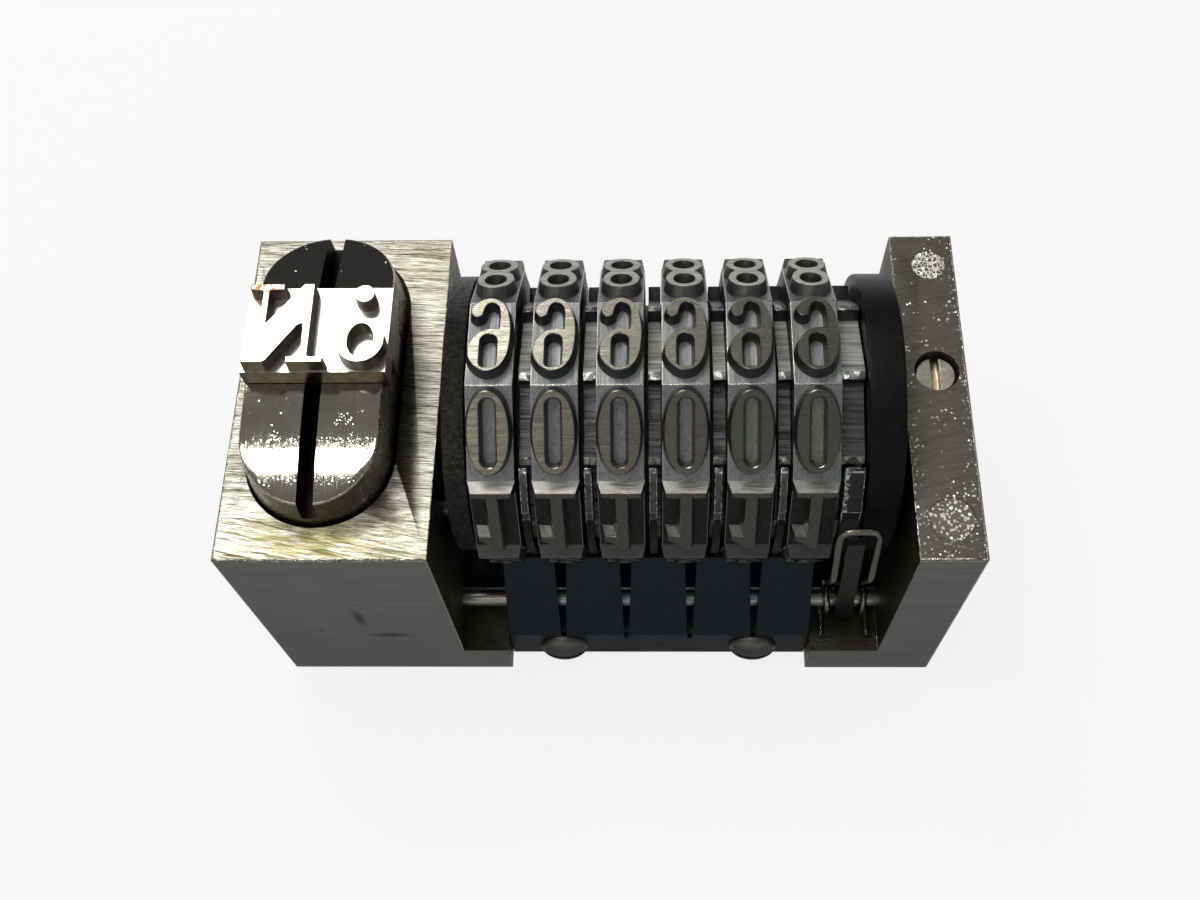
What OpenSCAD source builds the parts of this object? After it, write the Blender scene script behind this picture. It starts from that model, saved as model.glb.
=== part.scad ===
// Typographic numbering machine with six wheels, a sprung plunger and a pawl swing.
// Millimetres. Z = 0 is the base, Y = 0 the middle of the depth, X = 0 the middle of the width.

/* [Body] */
// Overall width of the body along X
body_width = 40.6; // [33:0.1:50]
// Overall depth of the body along Y
body_depth = 20.4; // [17:0.1:25]
// Height of the body without plunger and wheels
body_height = 18.3; // [17.5:0.1:22]
// Width of the left block that holds the plunger
block_width = 11.4; // [10.8:0.1:13]
// Width of the right wall
wall_width = 3.6; // [3.3:0.1:4.5]
// Height of the floor between the two ends
floor_height = 3.4; // [2.6:0.1:3.5]
// Width of the notch in the front of the floor, for wheels 3.4 apart
notch_width = 18.7; // [15:0.1:24]
// Depth of the notch in the front of the floor
notch_depth = 1.25; // [1.1:0.05:1.6]
// Chamfer on the outer corners of the body
body_chamfer = 0.1; // [0.05:0.05:0.3]

/* [Number wheels] */
// Height of the shaft axis above the base
shaft_height = 15.06; // [14.5:0.02:16.5]
// Distance of the shaft axis behind the middle of the body
shaft_offset = 0.25; // [0:0.05:0.3]
// Radius of the main shaft
shaft_radius = 2; // [1.6:0.05:2.4]
// Distance from the shaft axis to a flat of the wheel, for a body 20.4 deep
facet_reach = 7.8; // [7.2:0.05:8]
// Height of a raised figure above its flat
figure_relief = 0.7; // [0.4:0.05:0.8]
// Part of the wheel pitch that the figure band fills
band_share = 0.73; // [0.66:0.01:0.76]
// Radius over the ratchet teeth, for a body 20.4 deep
ratchet_reach = 7.2; // [6.8:0.05:7.3]
// Depth of a ratchet tooth
tooth_depth = 0.75; // [0.5:0.05:0.9]
// Angle of the ratchet steps from the front
step_angle = 39.5; // [36:0.5:42]

/* [Plunger] */
// Width of the plunger along X
plunger_width = 8; // [7.2:0.05:8.2]
// Length of the plunger along Y
plunger_length = 16.4; // [13.5:0.1:18]
// Height of the crown above the body
crown_rise = 3.2; // [2.5:0.1:4]
// Radius of the crown, seen from the side
crown_radius = 30; // [20:1:60]
// Width of the slot along the crown
crown_slot = 0.9; // [0.6:0.05:1.2]
// Depth of the slot along the crown
crown_slot_depth = 2.6; // [1:0.1:3]
// Height of the type slide above the crown, without its sign
slide_rise = 1.12; // [0.8:0.02:1.3]
// Travel of the plunger above the pictured height
travel_up = 3; // [2.4:0.1:3]
// Travel of the plunger below the pictured height
travel_down = 0.6; // [0.2:0.1:0.8]

/* [Swing and pawls] */
// Radius of the two cheeks
cheek_radius = 7.85; // [7.4:0.05:8]
// Turn of the swing over the whole plunger travel, in degrees
swing_turn = 38.5; // [36:0.5:40]
// Distance from the shaft axis to the pawl rod of the swing
pawl_rod_reach = 9.75; // [9.6:0.05:10]
// Radius of the pawl rod
pawl_rod_radius = 0.5; // [0.4:0.05:0.6]
// Radius of the retainer rod
retainer_radius = 0.62; // [0.5:0.02:0.7]
// Thickness of a retaining pawl
pawl_thickness = 0.42; // [0.3:0.02:0.5]

/* [Clearances] */
// Radial clearance of turning and sliding parts
run_gap = 0.04; // [0.02:0.01:0.08]
// Radial clearance of parts that are fixed to each other
fit_gap = 0.02; // [0.01:0.01:0.04]
// Side clearance between neighbouring wheels
side_gap = 0.04; // [0.02:0.01:0.08]
// Clearance between the resting pawls and the ratchet tips
sweep_gap = 0.06; // [0.05:0.01:0.1]
// Clearance of the plunger in its well
well_gap = 0.1; // [0.06:0.01:0.14]

/* [Hidden] */
$fn = 64;
half_w = body_width / 2;
half_d = body_depth / 2;
k = body_depth / 20.4;
cav_l = -half_w + block_width;
cav_r = half_w - wall_width;
cavity = cav_r - cav_l;
pitch = (cavity - 5.2) / 6;
band = pitch * band_share;
groove = pitch * 0.059;
stack_l = cav_l + 2.09;
tooth_w = pitch - band - groove - side_gap;
unit_w = 1.3;
unit_x = stack_l + 5 * pitch + band + side_gap;
zs = shaft_height;
ys = shaft_offset;
apo = facet_reach * k;
rat = ratchet_reach * k;
root = rat - tooth_depth;
cheek = cheek_radius * k;
crown_z = body_height + crown_rise;
pl_x = -half_w + 5.2;
pl_r = plunger_width / 2;
pl_half = plunger_length / 2 - pl_r;
pl_z = 5.2;
well_z = 4.4;
rod_y = -half_d + 3.1;
rod_z = floor_height + 1.22;
hub_r = 0.95;
neck_in = rat + 0.46;
neck_out = rat + 0.9;
head_out = rat + 1.12;
rr = pawl_rod_reach * k;
rest_turn = -swing_turn / 2 + travel_down / (travel_up + travel_down) * swing_turn;
pin_reach = (travel_up + travel_down) / 2 / sin(swing_turn / 2);
pin_y = ys - pin_reach * cos(rest_turn);
pin_z = zs + pin_reach * sin(rest_turn);
drive_rod_a = 204.4;
drive_tip_a = 223.4;
lch0 = cav_l + 0.8;
lch1 = stack_l - 0.1;
rch0 = unit_x + unit_w + 0.1;
rch1 = cav_r - 0.65;
screw_x = 5.94;
screw_z = 1.7;
notch_c = stack_l + 2.5 * pitch + 1.47;
notch_w = notch_width + 5 * (pitch - 3.4);
comb_y = -half_d + notch_depth;
comb_t = 0.25;
comb_lean = 60;
// the comb ends just short of the turning wheels
comb_length = 6.05 - 1.4 * (k - 1) + 0.75 * (shaft_height - floor_height - 11.66);
comb_foot = [comb_y - fit_gap, floor_height];
lean = [cos(comb_lean), sin(comb_lean)];
comb_back = [sin(comb_lean), -cos(comb_lean)];
bow_wire = 0.2;
eye_r = retainer_radius + 0.08 + bow_wire;
eye_turn = 470;
lock_x = half_w - 1.67;
lock_y = 1.1;

// a point at radius r and angle a, measured upward from the front
function rp(r, a) = [ys - r * cos(a), zs + r * sin(a)];
function arc(r, a0, a1, n) = [for (i = [0:n]) rp(r, a0 + (a1 - a0) * i / n)];
function oval(cx, cy, rx, ry, n) =
  [for (i = [0:n - 1]) [cx + rx * cos(360 * i / n), cy + ry * sin(360 * i / n)]];

// the direction of a wire at one of its points, and a direction square to it that doesn't twist
function unit(v) = v / norm(v);
function mirrored(v, m) = v - 2 * (v * m) / (m * m) * m;
function course(p, i) = unit(p[min(i + 1, len(p) - 1)] - p[max(i - 1, 0)]);
function beside(p, i) = i == 0 ? unit(cross(course(p, 0), [1, 0.2, 0.3]))
  : let (m = p[i] - p[i - 1])
    mirrored(mirrored(beside(p, i - 1), m), course(p, i) - mirrored(course(p, i - 1), m));
// a rounded corner at b on the way from a to c
function corner(a, b, c, r) = let (p = b + r * unit(a - b), q = b + r * unit(c - b))
  [for (t = [0:0.25:1]) (1 - t) * (1 - t) * p + 2 * t * (1 - t) * b + t * t * q];

// a drawing in Y and Z, drawn out along X
module along_x(x0, x1) translate([x0, 0, 0]) rotate([90, 0, 90])
  linear_extrude(height = x1 - x0) children();
module bar_x(y, z, r, x0, x1) translate([x0, y, z]) rotate([0, 90, 0])
  cylinder(r = r, h = x1 - x0);
module bar_y(x, z, r, y0, y1) translate([x, y0, z]) rotate([-90, 0, 0])
  cylinder(r = r, h = y1 - y0);
module stadium(r, half, z0, z1) {
  translate([pl_x, -half, z0]) cylinder(r = r, h = z1 - z0);
  translate([pl_x, half, z0]) cylinder(r = r, h = z1 - z0);
  translate([pl_x - r, -half, z0]) cube([2 * r, 2 * half, z1 - z0]);
}
// half a turn of round wire that climbs by rise
module half_turn(r, wire, rise, side) rotate([side * asin(rise / 2 / r), 0, 0])
  rotate([0, 0, side > 0 ? -90 : 90]) rotate_extrude(angle = 180, $fn = 48)
    translate([r, 0]) circle(r = wire, $fn = 20);
module coil(r, wire, rise, turns) for (i = [0:turns - 1]) {
  translate([0, 0, (i + 0.25) * rise]) half_turn(r, wire, rise / 2, 1);
  translate([0, 0, (i + 0.75) * rise]) half_turn(r, wire, rise / 2, -1);
}
// a bent wire along a list of points
module wire_along(points, r, sides = 8) {
  last = len(points) - 1;
  polyhedron(
    points = [for (i = [0:last]) let (u = beside(points, i), v = cross(course(points, i), u))
      for (j = [0:sides - 1]) points[i] + r * (u * cos(360 * j / sides) + v * sin(360 * j / sides))],
    faces = concat([[for (j = [0:sides - 1]) j]],
      [for (i = [0:last - 1]) for (j = [0:sides - 1])
        [i * sides + j, (i + 1) * sides + j, (i + 1) * sides + (j + 1) % sides,
          i * sides + (j + 1) % sides]],
      [[for (j = [sides - 1:-1:0]) last * sides + j]]));
}

// the figures, 2.2 wide and 4.4 high round the origin
module ring(cy, rx, ry, tx, ty) difference() {
  polygon(oval(0, cy, rx, ry, 16));
  polygon(oval(0, cy, rx - tx, ry - ty, 12));
}
module six() {
  ring(-0.95, 1.1, 1.25, 0.62, 0.42);
  intersection() {
    ring(0, 1.1, 2.2, 0.62, 0.42);
    polygon([[-1.2, -0.9], [-0.3, -0.9], [-0.3, 1.1], [0.2, 1.1], [1.2, 1.1], [1.2, 2.3],
      [-1.2, 2.3]]);
  }
}
module figure(n) {
  if (n == 0) ring(0, 1.1, 2.2, 0.62, 0.5);
  if (n == 1) polygon([[-1, -2.2], [1, -2.2], [1, -1.82], [0.3, -1.82], [0.3, 2.2],
    [-0.1, 2.2], [-0.95, 1.75], [-0.95, 1.35], [-0.28, 1.5], [-0.28, -1.82], [-1, -1.82]]);
  if (n == 2) {
    intersection() {
      ring(1.05, 1.1, 1.15, 0.58, 0.42);
      polygon([[-1.2, 1], [1.2, 0.45], [1.2, 2.3], [-1.2, 2.3]]);
    }
    polygon([[-1.1, -2.2], [1.1, -2.2], [1.1, -1.7], [-0.35, -1.7], [1.08, 0.72],
      [0.45, 0.9], [-1.1, -1.65]]);
  }
  if (n == 3) difference() {
    union() {
      ring(1.05, 1.05, 1.15, 0.58, 0.42);
      ring(-0.95, 1.1, 1.25, 0.6, 0.42);
    }
    polygon([[-1.3, 1.1], [-0.1, 0.9], [-0.1, 0], [-0.1, -0.4], [-1.3, -1.1]]);
  }
  if (n == 4) difference() {
    polygon([[-1.1, -1.2], [0.2, -1.2], [0.2, -2.2], [0.72, -2.2], [0.72, -1.2], [1.1, -1.2],
      [1.1, -0.75], [0.72, -0.75], [0.72, 2.2], [0.15, 2.2], [-1.1, -0.8]]);
    polygon([[-0.5, -0.75], [0.2, -0.75], [0.2, 0.95]]);
  }
  if (n == 5) {
    polygon([[-0.95, 0.1], [-0.95, 2.2], [0.95, 2.2], [0.95, 1.75], [-0.5, 1.75], [-0.5, 0.1]]);
    difference() {
      ring(-0.75, 1.1, 1.45, 0.6, 0.42);
      polygon([[-1.3, -0.05], [-0.5, -0.05], [-0.3, -1.2], [-1.3, -1.3]]);
    }
  }
  if (n == 6) six();
  if (n == 7) polygon([[-1.05, 2.2], [-1.05, 1.72], [0.45, 1.72], [-0.65, -2.2], [-0.05, -2.2],
    [1.05, 1.8], [1.05, 2.2]]);
  if (n == 8) {
    ring(1.1, 1, 1.1, 0.52, 0.4);
    ring(-0.95, 1.1, 1.25, 0.56, 0.42);
  }
  if (n == 9) rotate(180) six();
}

function ratchet_points() = [for (i = [0:9]) let (s = step_angle + 36 * i)
  each [rp(root, s), rp(rat, s), rp(rat, s + 3.6)]];

// one number wheel: figure band, groove, ratchet, all on one bore
module wheel(x0, tw, gw) difference() {
  union() {
    along_x(x0, x0 + band) polygon([for (i = [0:9]) rp(apo / cos(18), 36 * i)]);
    bar_x(ys, zs, root - 0.3, x0 + band - 0.1, x0 + band + gw + 0.1);
    along_x(x0 + band + gw, x0 + band + gw + tw) polygon(ratchet_points());
    for (i = [0:9]) translate([x0 + band / 2, ys, zs]) rotate([36 * i, 0, 0])
      translate([0, 0.15 * k, apo - 0.15]) linear_extrude(height = figure_relief + 0.15)
        scale([band / 2.48, k]) mirror([0, 1]) figure((9 + i) % 10);
  }
  bar_x(ys, zs, shaft_radius + run_gap, x0 - 1, x0 + band + gw + tw + 1);
  difference() {
    bar_x(ys, zs, apo - 1.6, x0 - 1, x0 + 0.35);
    bar_x(ys, zs, shaft_radius + 1.1, x0 - 2, x0 + 1);
  }
}
module wheel_at(i) wheel(stack_l + i * pitch, tooth_w, groove);

module frame() color([0.72, 0.7, 0.62]) {
  c = body_chamfer;
  difference() {
    linear_extrude(height = body_height)
      polygon([[-half_w + c, -half_d], [half_w - c, -half_d], [half_w, -half_d + c],
        [half_w, half_d - c], [half_w - c, half_d], [-half_w + c, half_d],
        [-half_w, half_d - c], [-half_w, -half_d + c]]);
    // the space for the wheels
    translate([cav_l, -half_d - 1, floor_height]) cube([cavity, body_depth + 2, body_height]);
    // the notch for the comb spring
    translate([notch_c - notch_w / 2, -half_d - 1, -1])
      cube([notch_w, notch_depth + 1, floor_height + 2]);
    // small chamfers along the top edges of the two ends
    for (s = [-1, 1]) translate([-half_w - 1, s * half_d, body_height]) rotate([45, 0, 0])
      translate([0, -c / sqrt(2), -c / sqrt(2)]) cube([body_width + 2, c * sqrt(2), c * sqrt(2)]);
    for (x = [-half_w, half_w]) translate([x, -half_d - 1, body_height]) rotate([0, 45, 0])
      translate([-c / sqrt(2), 0, -c / sqrt(2)]) cube([c * sqrt(2), body_depth + 2, c * sqrt(2)]);
    // the plunger well
    stadium(pl_r + well_gap, pl_half, well_z, body_height + 1);
    // bores for the main shaft and the retainer rod
    bar_x(ys, zs, shaft_radius + fit_gap, cav_l - 1.8, half_w + 1);
    bar_x(rod_y, rod_z, retainer_radius + fit_gap, cav_l - 1.42, half_w + 1);
    // the window that lets the drive pin reach the plunger
    translate([cav_l - 3.5, ys - pin_reach - 0.85, zs - travel_up / 2 - 1.15])
      cube([4.5, 2, travel_up + 2.3]);
    // the lock screw hole
    translate([lock_x, lock_y, zs + 1.1]) cylinder(r = 1.07 + fit_gap, h = 5);
    translate([lock_x, lock_y, body_height - 1]) cylinder(r = 1.24, h = 2);
    // the blind holes of the two plugs
    translate([half_w - 1.51, half_d - 2.09, body_height - 3]) cylinder(r = 0.95 + fit_gap, h = 4);
    translate([half_w - 1.7, -half_d + 2.35, body_height - 3]) cylinder(r = 1.2 + fit_gap, h = 4);
    // the plunger stop screw, in from the left
    bar_x(0, 11, 1.3 + fit_gap, -half_w - 1, pl_x - pl_r);
    // the comb screw holes
    for (s = [-1, 1]) bar_y(notch_c + s * screw_x, screw_z, 0.8 + fit_gap, -half_d, -half_d + 5);
  }
}

module wall_plug_front() color([0.82, 0.76, 0.58])
  translate([half_w - 1.7, -half_d + 2.35, body_height - 2.98]) cylinder(r = 1.2, h = 2.96);
module wall_plug_back() color([0.82, 0.76, 0.58])
  translate([half_w - 1.51, half_d - 2.09, body_height - 2.98]) cylinder(r = 0.95, h = 2.96);

module main_shaft() color([0.6, 0.6, 0.6]) difference() {
  bar_x(ys, zs, shaft_radius, cav_l - 1.76, half_w - 0.15);
  translate([lock_x, lock_y, zs + 1.06]) cylinder(r = 1.14, h = 4);
  translate([half_w - 0.75, ys - 0.3, zs - 3]) cube([1, 0.6, 6]);
}
module shaft_lock_screw() color([0.78, 0.72, 0.58]) difference() {
  translate([lock_x, lock_y, zs + 1.12]) cylinder(r = 1.07, h = body_height - 0.45 - zs - 1.12);
  translate([lock_x - 0.22, lock_y - 2, body_height - 0.95]) cube([0.44, 4, 1]);
}
module collar(x0, x1) difference() {
  bar_x(ys, zs, shaft_radius + 0.9, x0, x1);
  bar_x(ys, zs, shaft_radius + fit_gap, x0 - 1, x1 + 1);
}
module shaft_collars() color([0.5, 0.5, 0.48]) {
  collar(cav_l + 0.02, lch0 - 0.03);
  collar(rch1 + 0.03, cav_r - 0.02);
}

module wheel_units() color([0.55, 0.56, 0.56]) wheel(stack_l + 5 * pitch, unit_w, side_gap);
module wheel_tens() color([0.55, 0.56, 0.56]) wheel_at(4);
module wheel_hundreds() color([0.55, 0.56, 0.56]) wheel_at(3);
module wheel_thousands() color([0.55, 0.56, 0.56]) wheel_at(2);
module wheel_ten_thousands() color([0.55, 0.56, 0.56]) wheel_at(1);
module wheel_hundred_thousands() color([0.55, 0.56, 0.56]) wheel_at(0);

module plunger() color([0.66, 0.64, 0.57]) difference() {
  intersection() {
    stadium(pl_r, pl_half, pl_z, crown_z + 1);
    bar_x(0, crown_z - crown_radius, crown_radius, pl_x - 6, pl_x + 6);
  }
  // the slot along the crown
  translate([pl_x - crown_slot / 2, -half_d, crown_z - crown_slot_depth])
    cube([crown_slot, body_depth, 6]);
  // the seat and dovetail of the type slide
  along_x(pl_x - 6, pl_x + 6) polygon([[-1.34, crown_z + 1], [-1.34, crown_z - 0.5],
    [0.4, crown_z - 0.5], [0.05, crown_z - 1.7], [2.55, crown_z - 1.7], [2.2, crown_z - 0.5],
    [3.94, crown_z - 0.5], [3.94, crown_z + 1]]);
  // the bores of the two springs
  for (s = [-1, 1]) translate([pl_x, s * 4.6, pl_z - 1]) cylinder(r = 1.95, h = 8.3);
  // the cross slot of the drive roller
  translate([pl_x + pl_r - 2.6, ys - pin_reach - 1.06, pin_z - 0.95]) cube([4, 2.45, 1.9]);
  // the groove of the stop screw
  translate([pl_x - pl_r - 1, -0.86, 11 - 0.86 - travel_up])
    cube([2.2, 1.72, 1.72 + travel_up + travel_down]);
}
// the raised numero sign, reversed for printing, round the plunger's own axis
module numero() {
  polygon([[-3.36, 3.58], [-3.36, 3.24], [-2.66, 3.24], [-2.66, -0.86], [-3.36, -0.86],
    [-3.36, -1.2], [-2.14, -1.2], [-0.34, 1.35], [-0.34, -0.86], [-1.03, -0.86], [-1.03, -1.2],
    [0.89, -1.2], [0.89, -0.86], [0.05, -0.86], [0.05, 3.58], [-0.87, 3.58], [-2.37, 1.45],
    [-2.37, 3.24], [-1.53, 3.24], [-1.53, 3.58]]);
  translate([2.74, 0.12]) difference() {
    polygon(oval(0, 0, 1.24, 1.31, 24));
    polygon(oval(0, 0, 0.68, 1.02, 20));
  }
  translate([2.72, 2.96]) circle(r = 0.52, $fn = 32);
}
module type_slide() color([0.86, 0.84, 0.78]) {
  g = run_gap;
  along_x(pl_x - pl_r + 0.34, pl_x + pl_r + 0.04) polygon([[-1.3, crown_z + slide_rise],
    [-1.3, crown_z - 0.5 + g], [0.4 + g, crown_z - 0.5 + g], [0.05 + g, crown_z - 1.7 + g],
    [2.55 - g, crown_z - 1.7 + g], [2.2 - g, crown_z - 0.5 + g], [3.9, crown_z - 0.5 + g],
    [3.9, crown_z + slide_rise]]);
  translate([pl_x, 0, crown_z + slide_rise - 0.1]) linear_extrude(height = 0.98) numero();
}
module plunger_springs() color([0.5, 0.5, 0.5]) for (s = [-1, 1])
  translate([pl_x, s * 4.6, well_z + 0.33]) {
    coil(1.5, 0.22, 0.94, 8);
    translate([0, 0, -0.08]) rotate_extrude() translate([1.5, 0]) circle(r = 0.22, $fn = 20);
  }
module plunger_stop_screw() color([0.5, 0.5, 0.5]) difference() {
  union() {
    bar_x(0, 11, 1.3, -half_w + 0.1, pl_x - pl_r - 0.18);
    bar_x(0, 11, 0.8, -half_w + 0.2, pl_x - pl_r + 1.05);
  }
  translate([-half_w - 0.5, -0.2, 9]) cube([1, 0.4, 4]);
}

module cheek_blank(x0, x1) difference() {
  union() {
    bar_x(ys, zs, cheek, x0, x1);
    // the ear that carries the pawl rod
    along_x(x0, x1) polygon([rp(cheek - 0.6, drive_rod_a - 12),
      rp(rr, drive_rod_a) - 0.85 * [sin(drive_rod_a), cos(drive_rod_a)],
      rp(rr, drive_rod_a) + 0.85 * [sin(drive_rod_a), cos(drive_rod_a)],
      rp(cheek - 0.6, drive_rod_a + 12)]);
    bar_x(rp(rr, drive_rod_a)[0], rp(rr, drive_rod_a)[1], 0.85, x0, x1);
  }
  bar_x(ys, zs, shaft_radius + run_gap, x0 - 1, x1 + 1);
  bar_x(rp(rr, drive_rod_a)[0], rp(rr, drive_rod_a)[1], pawl_rod_radius + fit_gap, x0 - 1, x1 + 1);
}
module swing_cheek_left() color([0.2, 0.21, 0.22]) difference() {
  cheek_blank(lch0, lch1);
  bar_x(pin_y, pin_z, 0.55 + fit_gap, lch0 - 1, lch1 + 1);
}
module swing_cheek_right() color([0.2, 0.21, 0.22]) cheek_blank(rch0, rch1);
module drive_pin() color([0.6, 0.6, 0.6])
  bar_x(pin_y, pin_z, 0.55, pl_x + pl_r - 2.4, lch1 - 0.1);
module drive_roller() color([0.7, 0.68, 0.6]) difference() {
  bar_x(pin_y, pin_z, 0.88, pl_x + pl_r - 2.35, pl_x + pl_r - 0.65);
  bar_x(pin_y, pin_z, 0.55 + run_gap, pl_x, pl_x + pl_r + 1);
}
module pawl_rod() color([0.6, 0.6, 0.6])
  bar_x(rp(rr, drive_rod_a)[0], rp(rr, drive_rod_a)[1], pawl_rod_radius, lch0 + 0.1, rch1 - 0.1);
// six fingers on one sleeve
module finger(x0, x1) {
  h = rp(rr, drive_rod_a);
  t = rp(rat + sweep_gap, drive_tip_a);
  d = (t - h) / norm(t - h);
  n = [-d[1], d[0]];
  along_x(x0, x1) polygon([h - 0.8 * n, h + 0.8 * n, t - 0.3 * d + 0.75 * n, t + 0.35 * n, t]);
}
module driving_pawl() color([0.25, 0.26, 0.27]) {
  h = rp(rr, drive_rod_a);
  difference() {
    union() {
      bar_x(h[0], h[1], 0.85, stack_l + band - 0.6, unit_x + unit_w - 0.05);
      for (i = [0:4]) finger(stack_l + i * pitch + band + groove + 0.06,
        stack_l + i * pitch + band + groove + tooth_w - 0.06);
      finger(unit_x + 0.1, unit_x + unit_w - 0.1);
    }
    bar_x(h[0], h[1], pawl_rod_radius + run_gap, stack_l, unit_x + unit_w + 1);
  }
}
module driving_pawl_spring() color([0.6, 0.58, 0.5]) {
  h = rp(rr, drive_rod_a);
  x0 = lch1 + 0.22;
  x1 = stack_l + band - 0.82;
  n = floor((x1 - x0) / 0.28);
  translate([x0, h[0], h[1]]) rotate([0, 90, 0]) coil(0.7, 0.1, (x1 - x0) / n, n);
  bar_x(h[0] - 0.7, h[1], 0.1, lch1 + fit_gap, x0 + 0.05);
  bar_x(h[0] - 0.7, h[1], 0.1, x1 - 0.05, stack_l + band - 0.6 - fit_gap);
}

module retainer_rod() color([0.62, 0.6, 0.56])
  bar_x(rod_y, rod_z, retainer_radius, cav_l - 1.38, half_w - 0.1);
// the outline of a retaining pawl in Y and Z
module pawl_outline() {
  f = comb_foot + sweep_gap * comb_back;
  polygon(concat(
    [f + 2.1 * lean, [rod_y, rod_z], [rod_y + 0.9, rod_z]],
    arc(rat + 0.32, -52, -36, 2), arc(neck_in, -26, 14, 4), [rp(rat + sweep_gap, 25)],
    [rp(rat + sweep_gap, step_angle - 2.4), rp(rat + 0.55, step_angle - 1.7),
      rp(rat + 0.78, step_angle + 1.2), rp(head_out - 0.15, step_angle + 2),
      rp(head_out, step_angle + 0.4)],
    [rp(head_out, 22), rp(neck_out, 21)], arc(neck_out, 17, -34, 6),
    [f + (comb_length + 0.2) * lean]));
}
module pawl(i) color([0.3, 0.32, 0.33]) {
  x0 = stack_l + i * pitch + band + groove + 0.05;
  difference() {
    union() {
      along_x(x0, x0 + pawl_thickness) pawl_outline();
      bar_x(rod_y, rod_z, hub_r, x0, x0 + pawl_thickness + 0.6);
    }
    bar_x(rod_y, rod_z, retainer_radius + run_gap, x0 - 1, x0 + 3);
  }
}
module pawl_tens() pawl(4);
module pawl_hundreds() pawl(3);
module pawl_thousands() pawl(2);
module pawl_ten_thousands() pawl(1);
module pawl_hundred_thousands() pawl(0);
module pawl_units() color([0.3, 0.32, 0.33]) {
  x0 = unit_x + 0.15;
  bar_top = zs + 0.84;
  // left and right end of the hub, front and back of the bar before the right cheek
  h0 = unit_x + 1.32;
  h1 = unit_x + 2.36;
  y0 = ys - cheek - 0.76;
  y1 = ys - cheek - 0.34;
  difference() {
    union() {
      intersection() {
        along_x(x0, x0 + 1.05) pawl_outline();
        translate([x0 - 1, -half_d, zs - 1.2]) cube([3, half_d, 9]);
      }
      translate([0, y1, 0]) rotate([90, 0, 0]) linear_extrude(height = y1 - y0)
        polygon([[unit_x + 0.68, bar_top], [unit_x + 1.63, bar_top], [h1, rod_z - 0.8],
          [h0, rod_z - 0.8]]);
      // a neck joins the head to the bar, a foot joins the bar to the hub
      translate([unit_x + 0.7, y0, zs - 1.2]) cube([0.5, ys - neck_out + 0.11 - y0, bar_top + 1.2 - zs]);
      translate([h0, y0 + 0.1, rod_z - 0.8]) cube([h1 - h0, rod_y - y0 - 0.1, 1.6]);
      bar_x(rod_y, rod_z, hub_r, h0, h1);
    }
    bar_x(rod_y, rod_z, retainer_radius + run_gap, x0 - 1, x0 + 4);
  }
}
module comb_outline() {
  p = comb_foot;
  top = p + comb_length * lean;
  polygon([[p[0], 0.15], p, top, top - comb_t * comb_back,
    p + [-comb_t, comb_t / tan(45 + comb_lean / 2)], [p[0] - comb_t, 0.15]]);
}
module comb_spring() color([0.16, 0.18, 0.2]) difference() {
  along_x(notch_c - notch_w / 2 + 0.06, notch_c + notch_w / 2 - 0.06) comb_outline();
  for (i = [-1.5:1:1.5]) translate([notch_c + i * notch_w / 4.78, -half_d, 0])
    rotate([90, 0, 0]) translate([0, 0, -9]) linear_extrude(height = 12)
      polygon([[-0.13, 2.85], [0.13, 2.85], [0.5, 12], [-0.5, 12]]);
  for (s = [-1, 1]) bar_y(notch_c + s * screw_x, screw_z, 0.9, -half_d - 1, -half_d + 3);
}
module comb_screws() color([0.5, 0.46, 0.4]) for (s = [-1, 1])
  translate([notch_c + s * screw_x, comb_y - comb_t - 2 * fit_gap, screw_z]) difference() {
    rotate([-90, 0, 0]) union() {
      cylinder(r = 0.8, h = 3.8);
      intersection() {
        translate([0, 0, 1.575]) sphere(r = 2.175);
        translate([0, 0, -0.6]) cylinder(r = 1.48, h = 0.6);
      }
    }
    translate([-2, -1, -0.17]) cube([4, 0.72, 0.34]);
  }
// one side of the units pawl's spring, from its tail on the floor to its corner of the bow
function bow_side(x, climb, knee_x, bow_x) = let (
  winding = [for (a = [0:eye_turn / 20:eye_turn])
    [x + climb * a / eye_turn, rod_y + eye_r * sin(a), rod_z - eye_r * cos(a)]],
  low = [knee_x, ys - cheek - 1.6, zs - 2.06],
  high = [bow_x, ys - cheek - 0.51, zs + 2.14])
  concat([[x, rod_y - 2.2, rod_z - eye_r]], winding, corner(winding[20], low, high, 0.8),
    corner(low, high, [unit_x + 1.26, high[1], high[2]], 0.7));
module units_pawl_spring() color([0.45, 0.43, 0.38]) {
  left = bow_side(unit_x + 0.49, 0.58, unit_x + 0.2, unit_x + 0.19);
  right = bow_side(unit_x + 3.27, -0.58, unit_x + 2.27, unit_x + 2.34);
  wire_along(concat(left, [for (i = [len(right) - 1:-1:0]) right[i]]), bow_wire);
}

frame();
wall_plug_front();
wall_plug_back();
main_shaft();
shaft_lock_screw();
shaft_collars();
wheel_units();
wheel_tens();
wheel_hundreds();
wheel_thousands();
wheel_ten_thousands();
wheel_hundred_thousands();
plunger();
type_slide();
plunger_springs();
plunger_stop_screw();
swing_cheek_left();
swing_cheek_right();
drive_pin();
drive_roller();
pawl_rod();
driving_pawl();
driving_pawl_spring();
retainer_rod();
pawl_units();
pawl_tens();
pawl_hundreds();
pawl_thousands();
pawl_ten_thousands();
pawl_hundred_thousands();
comb_spring();
comb_screws();
units_pawl_spring();
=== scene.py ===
import math
import random
from contextlib import contextmanager

import bmesh
import bpy
from mathutils import Matrix, Vector
from mathutils.geometry import tessellate_polygon


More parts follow.
